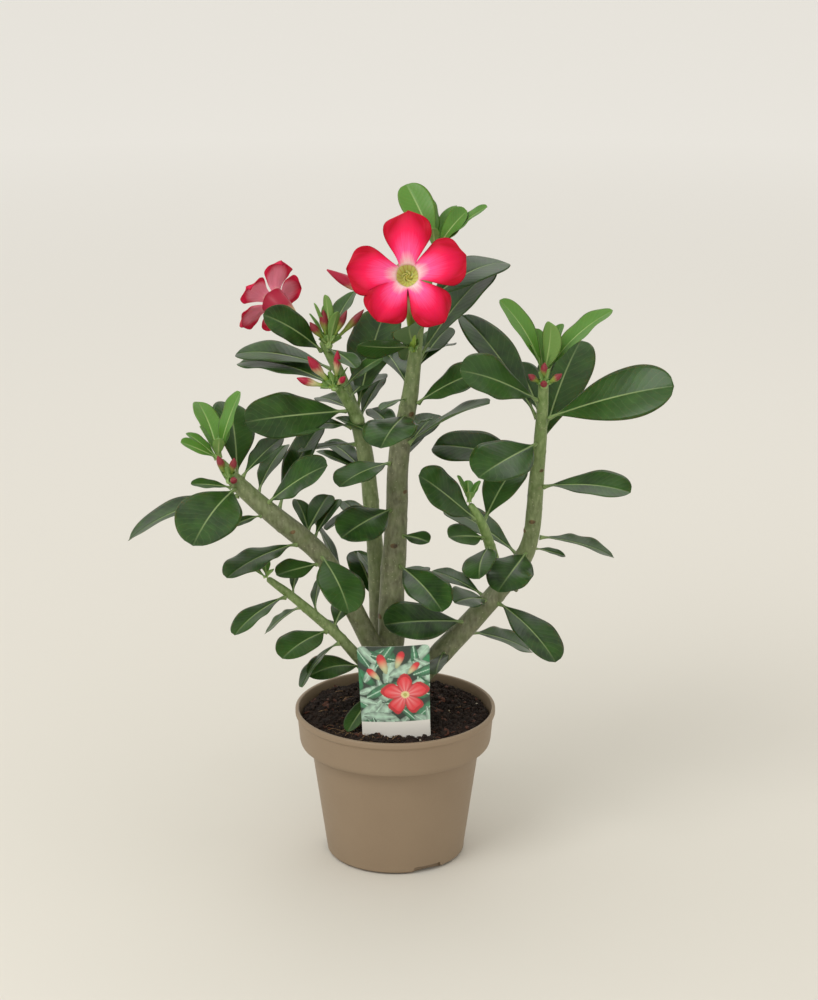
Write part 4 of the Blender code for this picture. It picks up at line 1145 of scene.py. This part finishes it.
def buildCard():
    columns = int(card["width"] / card["cell"])
    levels = np.concatenate([np.arange(card["top"], card["bend"], -card["cell"]),
                             np.linspace(card["bend"], card["bottom"], 14)])
    turn, colourAt = radians(card["turn"]), cardPicture()
    upper, colours = np.zeros((2, len(levels), columns + 1, 3)), []
    for i, z in enumerate(levels):
        if z >= card["bend"]:
            narrowing = np.clip((card["top"] - z) / (60 * mm), 0, 1)
            half = card["width"] / 2 - (card["width"] - card["footWidth"]) / 2 * narrowing
        else:
            half = card["footWidth"] / 2 * (0.12 + 0.88 * (z - card["bottom"]) / (card["bend"] - card["bottom"])) ** 0.8
        down = card["top"] - z
        if down < card["corner"]:
            half -= card["corner"] - np.sqrt(max(card["corner"] ** 2 - (card["corner"] - down) ** 2, 0))
        for k in range(columns + 1):
            x = half * (2 * k / columns - 1)
            lift = z - card["bend"]
            y = card["y"] + card["bow"] * (x / (card["width"] / 2)) ** 2 + card["lean"] * lift / (70 * mm)
            place = np.array((card["x"] + x * cos(turn) + lift * sin(turn), y,
                              card["bend"] - x * sin(turn) + lift * cos(turn)))
            upper[0, i, k] = place - (0, card["thickness"] / 2, 0)
            upper[1, i, k] = place + (0, card["thickness"] / 2, 0)
            colours.append(colourAt(x / mm, lift / mm))
    rows, wide = len(levels), columns + 1
    verts = [p for sheet in upper for row in sheet for p in row]
    back = rows * wide
    faces = []
    for i in range(rows - 1):
        for k in range(columns):
            a = i * wide + k
            faces.append((a, a + wide, a + wide + 1, a + 1))
            faces.append((back + a, back + a + 1, back + a + wide + 1, back + a + wide))
    edge = list(range(wide)) + [i * wide + columns for i in range(1, rows)]
    edge += [(rows - 1) * wide + k for k in range(columns - 1, -1, -1)] + [i * wide for i in range(rows - 2, 0, -1)]
    faces += [(b, a, back + a, back + b) for a, b in zip(edge, edge[1:] + edge[:1])]
    mesh = meshOf("plant_label_card", verts, faces)
    layer = mesh.color_attributes.new("print", "FLOAT_COLOR", "POINT")
    paper = np.array(linear(card["paper"]))
    flat = np.array(colours + [paper] * back, np.float32)
    flat[:, 3] = 1
    layer.data.foreach_set("color", flat.ravel())
    piece = addObject("plant_label_card", mesh, labelCard)
    mesh.set_sharp_from_angle(angle=radians(50))
    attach(piece, "root")
    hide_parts("plant_label")
    print("label printed,", len(mesh.polygons), "faces")


buildCard()


# each flower: throat, the way it faces, each petal's turn, reach, width and lean, and its petal skin
flowers = {
    "front_flower": {
        "throat": (9, -40, 453), "faces": (-0.03, -0.93, 0.3), "throatRadius": 8.6, "skin": petalSkin,
        "petals": ((90, 46, 34, 4), (162, 45, 35, 0), (232, 44, 31, -4), (303, 40, 33, -8), (4, 44, 35, 2)),
    },
    "back_flower": {
        "throat": (-90, 37, 418), "faces": (-0.66, 0.68, 0.32), "throatRadius": 8.2, "skin": fadedPetal,
        "petals": ((80, 31, 25, 12), (152, 30, 24, 6), (224, 31, 25, 10), (296, 30, 25, 12), (8, 31, 24, 8)),
    },
}
petal = {"rows": 34, "columns": 31, "thickness": 0.5 * mm, "ruffle": 2.1 * mm, "fullReach": 45 * mm, "overlap": 10}


def petalMesh(name, centre, out, spoke, cross, throat, reach, width, lean, seed):
    # one lobe: it leaves the funnel's rim, opens outwards and rolls back at the margin
    chance = np.random.default_rng(seed)
    rows, columns = petal["rows"], petal["columns"]
    top, low = np.zeros((rows, columns, 3)), np.zeros((rows, columns, 3))
    s = np.linspace(-1, 1, columns)
    share = 1 - (1 - np.linspace(0, 1, rows)) ** 1.5
    phases, tilt = chance.uniform(0, tau, 4), radians(petal["overlap"] + chance.uniform(-3, 3))
    curl = radians(chance.uniform(10, 26))
    frill = petal["ruffle"] * (reach / petal["fullReach"]) ** 2  # a small lobe ruffles less
    lean = radians(lean)
    # the mid line, in the plane of the spoke and the flower's axis
    angle = np.radians(72) * (1 - share) ** 3.2 + lean * share - curl * share ** 3
    step = np.diff(share) * (reach - 0.75 * throat) * 1.06
    run = throat * 0.86 + np.concatenate([[0], np.cumsum(np.cos(angle[:-1]) * step)])
    rise = -4.2 * mm + np.concatenate([[0], np.cumsum(np.sin(angle[:-1]) * step)])
    for i in range(rows):
        t = share[i]
        opened = np.clip((t - 0.04) / 0.62, 0, 1)
        broad = 0.34 + 0.66 * opened ** 2 * (3 - 2 * opened)
        broad *= np.sqrt(1 - np.clip((t - 0.62) / 0.38, 0, 1) ** 2.7)
        half = max(width / 2 * broad, 0.02 * mm)
        normal = out * cos(angle[i]) - spoke * sin(angle[i])
        turned = cross * cos(tilt * t) + normal * sin(tilt * t)
        normal = normal * cos(tilt * t) - cross * sin(tilt * t)
        across = s * half
        wrap = across ** 2 / (2.2 * throat) * (1 - t) ** 5
        roll = -2.4 * mm * abs(s) ** 3 * t ** 2
        waves = np.sin(tau * (1.4 * t + 0.35 * s) + phases[0]) + 0.6 * np.sin(tau * (2.9 * t - 0.4 * s) + phases[1])
        ruffle = frill * waves * abs(s) ** 1.6 * t
        sag = 1.5 * mm * np.sin(tau * (0.9 * s) + phases[2]) * t ** 1.5 * (1 - t * 0.5)
        groove = -0.5 * mm * np.exp(-((across / (1.6 * mm)) ** 2)) * t
        lift = wrap + roll + ruffle + sag + groove
        tipIn = 1.8 * mm * (abs(s) ** 2) * t ** 4
        middle = centre + spoke * run[i] + out * rise[i]
        spread = turned[None] * across[:, None] + normal[None] * lift[:, None] - spoke[None] * tipIn[:, None]
        top[i] = middle + spread
        thick = petal["thickness"] * np.sqrt(np.clip(1 - s ** 2, 0, 1)) * (1.6 - t)
        low[i] = top[i] - normal[None] * thick[:, None]
    return sheetMesh(name, top, low, share, (s + 1) / 2, {})


sepalPoints = 9
funnelStations = 90
# shares of the funnel's length and its outer radii in mm at a throat radius of 8.6 mm
funnelShape = (0, 0.12, 0.3, 0.42, 0.62, 0.85, 1), (2.2, 2.6, 3.0, 3.6, 6.6, 9.0, 10.4)


def buildFlower(node, seed):
    kind = flowers[node]
    points = welded(node)[0]
    throat, out = np.array(kind["throat"]) * mm, unit(kind["faces"])
    radius = kind["throatRadius"] * mm
    far = points[np.argmax(np.linalg.norm(points - throat, axis=1))]
    foot = points[np.linalg.norm(points - far, axis=1) < 5 * mm].mean(axis=0)
    cross = unit(np.cross(out, (0, 0, 1)))
    up = np.cross(cross, out)
    pieces = []
    for k, (turn, reach, width, lean) in enumerate(kind["petals"]):
        turn = radians(turn)
        spoke, side = cross * cos(turn) + up * sin(turn), up * cos(turn) - cross * sin(turn)
        name = f"{node}_petal_{k + 1}"
        mesh = petalMesh(name, throat, out, spoke, side, radius, reach * mm, width * mm, lean, seed + k)
        pieces.append((addObject(name, mesh, kind["skin"]), "petal"))
    # the funnel: an outer and an inner skin turned about a curved line
    depth = np.linalg.norm(throat - foot)
    line = bezier(foot, foot + unit(throat - foot) * depth * 0.35, throat - out * depth * 0.45,
                  throat - out * 1.5 * mm, funnelStations)
    share = np.linspace(0, 1, funnelStations)
    along = frames(line)[0]
    side = unit(cross)[None] - along * (along @ cross)[:, None]
    side /= np.linalg.norm(side, axis=1)[:, None]
    other = np.cross(along, side)
    outer = np.interp(share, *funnelShape) * mm * radius / (8.6 * mm)
    sides, verts, uvs = 48, [], []
    inner = np.interp(share, (0.87, 0.885, 0.9, 0.94, 1), (0.8, 3.6, 5.4, 7.4, 9.6)) * mm * radius / (8.6 * mm)
    last = funnelStations - 1
    rows = [(i, outer[i], True) for i in range(funnelStations)]
    rows += [(i, inner[i], False) for i in range(last, last - 13, -1)]
    for i, r, isSkin in rows:
        for k in range(sides):
            a = tau * k / sides
            fluted = 1 + 0.03 * np.cos(5 * a) * share[i]
            verts.append(line[i] + (side[i] * cos(a) + other[i] * sin(a)) * r * fluted)
            uvs.append((share[i] if isSkin else 7 * (1 - share[i]), k / sides))
    faces = ringFaces(len(rows), sides)
    faces.append(tuple(range(sides))[::-1])
    faces.append(tuple(range(len(verts) - sides, len(verts))))
    mesh = meshOf(node + "_funnel", verts, faces, None, uvs)
    funnel = addObject(node + "_funnel", mesh, budSkin, throatLining)
    for index, face in enumerate(mesh.polygons):
        face.material_index = 1 if index >= funnelStations * sides else 0
    outward(mesh)
    pieces.append((funnel, "petal"))
    # five anthers whose hairy threads twist together in the throat
    threads = []
    for k in range(5):
        t = np.linspace(0, 1, 14)[:, None]
        a = tau * k / 5 + t * 2.2
        wide = radius * (0.42 * (1 - t) ** 1.4 + 0.08)
        route = throat + out * (-12.5 * mm + 5 * mm * t) + (cross * np.cos(a) + up * np.sin(a)) * wide
        thick = np.interp(t[:, 0], (0, 0.35, 0.45, 1), (0.8, 1.1, 0.6, 0.35)) * mm
        threads.append(tubeMesh("thread", route, thick, 8))
    pieces.append((addObject(node + "_anthers", mergedMesh(node + "_anthers", threads), throatLining), "petal"))
    # the calyx
    sepals = []
    start = unit(line[2] - line[0])
    for k in range(5):
        a = tau * k / 5
        away = side[0] * cos(a) + other[0] * sin(a)
        lean = unit(start + 0.35 * away)
        mids = foot + away * 2.0 * mm + np.outer(np.linspace(0, 9 * mm, sepalPoints), lean)
        ups = np.tile(unit(np.cross(np.cross(away, start), start)), (sepalPoints, 1))
        across = np.tile(unit(np.cross(start, away)), (sepalPoints, 1))
        sepals.append(bladeMesh("sepal", mids, across, ups, 4.2 * mm, seed + 20 + k, 0.6))
    pieces.append((addObject(node + "_calyx", mergedMesh(node + "_calyx", sepals), youngLeaf), "young_leaf"))
    for piece, slot in pieces:
        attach(piece, "root")
    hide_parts(node)


for seed, node in enumerate(flowers):
    buildFlower(node, 2000 + 50 * seed)
print("flowers built")


# each cluster's buds as in the CAD: heading, rise, length, radius; then its small bracts, as for leaves
budClusters = {
    "lower_bud_cluster": (((-150, 50, 33, 4.0), (-175, 15, 28, 3.4), (-70, 75, 30, 3.0), (-60, 35, 20, 2.6)),
                          ((-110, 60, 16, 5, 10, 0), (-20, 60, 18, 6, 10, 0), (160, 50, 16, 5, 10, 0))),
    "upper_bud_cluster": (((-120, 75, 28, 3.8), (-150, 50, 24, 3.2), (-20, 62, 30, 3.0), (5, 45, 36, 3.0)),
                          ((-100, 78, 40, 9, 10, 20), (-150, 72, 34, 9, 10, 0), (-60, 66, 30, 8, 10, 10),
                           (170, 60, 26, 8, 10, 0), (100, 70, 30, 9, 10, 0))),
    "right_bud_cluster": (((-90, 75, 18, 3.0), (-160, 35, 15, 2.8), (-20, 35, 16, 2.8), (-95, 20, 12, 2.8)),
                          ((-60, 70, 14, 4, 10, 0), (-130, 65, 12, 4, 10, 0))),
    "left_bud_cluster": (((-150, 65, 21, 3.0), (-60, 65, 20, 3.0), (-70, 15, 15, 2.8)),
                         ((-100, 60, 14, 4, 10, 0), (170, 60, 14, 4, 10, 0))),
    "crown_bud": (((186, 26, 66, 4.8),), ((150, 40, 16, 5, 10, 0), (-140, 30, 14, 4, 10, 0))),
}
budStations = 34
# share of the length and share of the radius along a bud
budShape = ((0, 0.06, 0.16, 0.32, 0.45, 0.58, 0.7, 0.82, 0.92, 1),
            (0.42, 0.5, 0.52, 0.42, 0.5, 0.8, 1.0, 0.86, 0.5, 0.12))


def buildBuds(node, seed):
    buds, bracts = budClusters[node]
    points = welded(node)[0]
    bases = []
    for heading, rise, length, radius in buds:
        way = headed(heading, rise)
        bases.append(points[np.argmax(points @ way)] - way * length * mm)
    base = np.mean(bases, axis=0)
    chance = np.random.default_rng(seed)
    skins, greens = [], []
    for k, (heading, rise, length, radius) in enumerate(buds):
        way = headed(heading, rise)
        bend = unit(np.cross(way, (0, 0, 1))) * chance.uniform(-0.06, 0.06) + np.array((0, 0, -0.05))
        end = base + way * length * mm
        route = bezier(base, base + way * length * mm * 0.33 + bend * length * mm,
                       base + way * length * mm * 0.66 + bend * length * mm, end, budStations)
        share = np.linspace(0, 1, budStations)
        radii = np.interp(share, *budShape) * radius * 0.9 * mm
        radii[1:-1] = (radii[:-2] + radii[1:-1] * 2 + radii[2:]) / 4
        spin = chance.uniform(0, tau)

        def furl(t, a):
            return 0.09 * max(0, t - 0.42) * 2 * abs(sin((a + spin + 5 * t) * 1.5))

        skins.append(tubeMesh("bud", route, radii, 26, furl))
        across = unit(np.cross(way, (0.3, 0.2, 1)))
        other = np.cross(way, across)
        for j in range(5):
            a = tau * j / 5
            away = across * cos(a) + other * sin(a)
            foot = route[3] + away * radii[3] * 0.8
            reach = unit(way + 0.22 * away) * min(7.5, 0.3 * length) * mm
            mids = foot + np.outer(np.linspace(0, 1, sepalPoints), reach)
            sides, ups = np.tile(unit(np.cross(way, away)), (sepalPoints, 1)), np.tile(-away, (sepalPoints, 1))
            greens.append(bladeMesh("sepal", mids, sides, ups, 1.1 * radius * mm, seed + j, 0.5))
    for k, (heading, rise, length, width, droop, roll) in enumerate(bracts):
        start = base + headed(heading, 0) * 1.2 * mm
        course = archedLeaf(start, heading, rise, length * mm, width * mm, droop, roll)
        greens.append(bladeMesh("bract", *course, seed + 30 + k, 1.0))
    knob = [base - np.array((0, 0, 2.6 * mm)), base - np.array((0, 0, 0.8 * mm)), base + np.array((0, 1e-6, 1.4 * mm))]
    greens.append(tubeMesh("knob", knob, [2.2 * mm, 2.8 * mm, 2.0 * mm], 16))
    skin = budSkin if node in ("lower_bud_cluster", "crown_bud") else greenBud
    closed = addObject(node + "_closed_buds", mergedMesh(node + "_closed_buds", skins), skin)
    leafy = addObject(node + "_sepals", mergedMesh(node + "_sepals", greens), youngLeaf)
    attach(closed, "root")
    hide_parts(node)
    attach(leafy, "root")


for seed, node in enumerate(budClusters):
    buildBuds(node, 3000 + 100 * seed)
print("buds built")


studio = {
    # the paper's near and far tones are painted shade and painted light, not the paper's own colour
    "nearPaperPaintedShade": "#D8D4CA", "farPaperPaintedLight": "#FDFCFA", "paperRun": 0.3, "floorReach": 40.0,
    "cameraPlace": (0.0103, -1.760, 0.828), "cameraTilt": 72.6, "lens": 90.72,
    "skyTone": "#F3F0E9", "skyStrength": 0.9,
    # each light's place, its side in metres and its power in watts
    "lights": {"key": ((-0.9, -1.1, 1.7), 1.0, 16.0), "fill": ((1.3, -1.0, 0.9), 1.2, 0.4),
               "back": ((0.3, 1.1, 1.5), 0.9, 3.0)},
    "lightsAimAt": (0, 0, 0.25),
}


def buildStudio():
    material, add, shader = newMaterial("seamless paper backdrop", Roughness=0.9)
    place = add(coordNode, out="Object")
    # painted shade and light: the paper's colour runs from the darker near tone to the lighter far tone with distance
    # from the middle, in place of how light falls across the floor and backdrop
    away = add(vectorNode, [place], "Value", operation="LENGTH")
    away = add(mathNode, [away, studio["paperRun"]], operation="MULTIPLY")
    wire(shader, add(rampNode, [away], stops=((0.0, studio["nearPaperPaintedShade"]), (1.0, studio["farPaperPaintedLight"]))), None, None)
    sides, drop = 96, -0.2 * mm
    route = [studio["floorReach"] * share ** 2 for share in np.linspace(0.1, 1, 12)]
    verts = [(0, 0, drop)] + [p for r in route for p in level(r, drop, sides)]
    faces = [(0, 1 + k, 1 + (k + 1) % sides) for k in range(sides)] + ringFaces(len(route), sides, 1, True)
    floor = addObject("studio_floor", meshOf("studio_floor", verts, faces), material)
    world = bpy.data.worlds.new("studio air")
    bpy.context.scene.world = world
    world.use_nodes = True
    world.node_tree.nodes["Background"].inputs["Color"].default_value = linear(studio["skyTone"])
    world.node_tree.nodes["Background"].inputs["Strength"].default_value = studio["skyStrength"]
    centre = np.array(studio["lightsAimAt"])
    for name, (place, size, power) in studio["lights"].items():
        lamp = bpy.data.lights.new(name, "AREA")
        lamp.size, lamp.energy = size, power
        light = bpy.data.objects.new(name, lamp)
        bpy.context.scene.collection.objects.link(light)
        light.location = place
        light.rotation_euler = Vector(centre - np.array(place)).to_track_quat("-Z", "Y").to_euler()
    bpy.context.scene.view_settings.view_transform = "Standard"
    view = bpy.data.cameras.new("camera")
    view.sensor_width, view.lens = 36.0, studio["lens"]
    camera = bpy.data.objects.new("camera", view)
    bpy.context.scene.collection.objects.link(camera)
    camera.location = studio["cameraPlace"]
    camera.rotation_euler = (radians(studio["cameraTilt"]), 0, 0)
    bpy.context.scene.camera = camera


buildStudio()
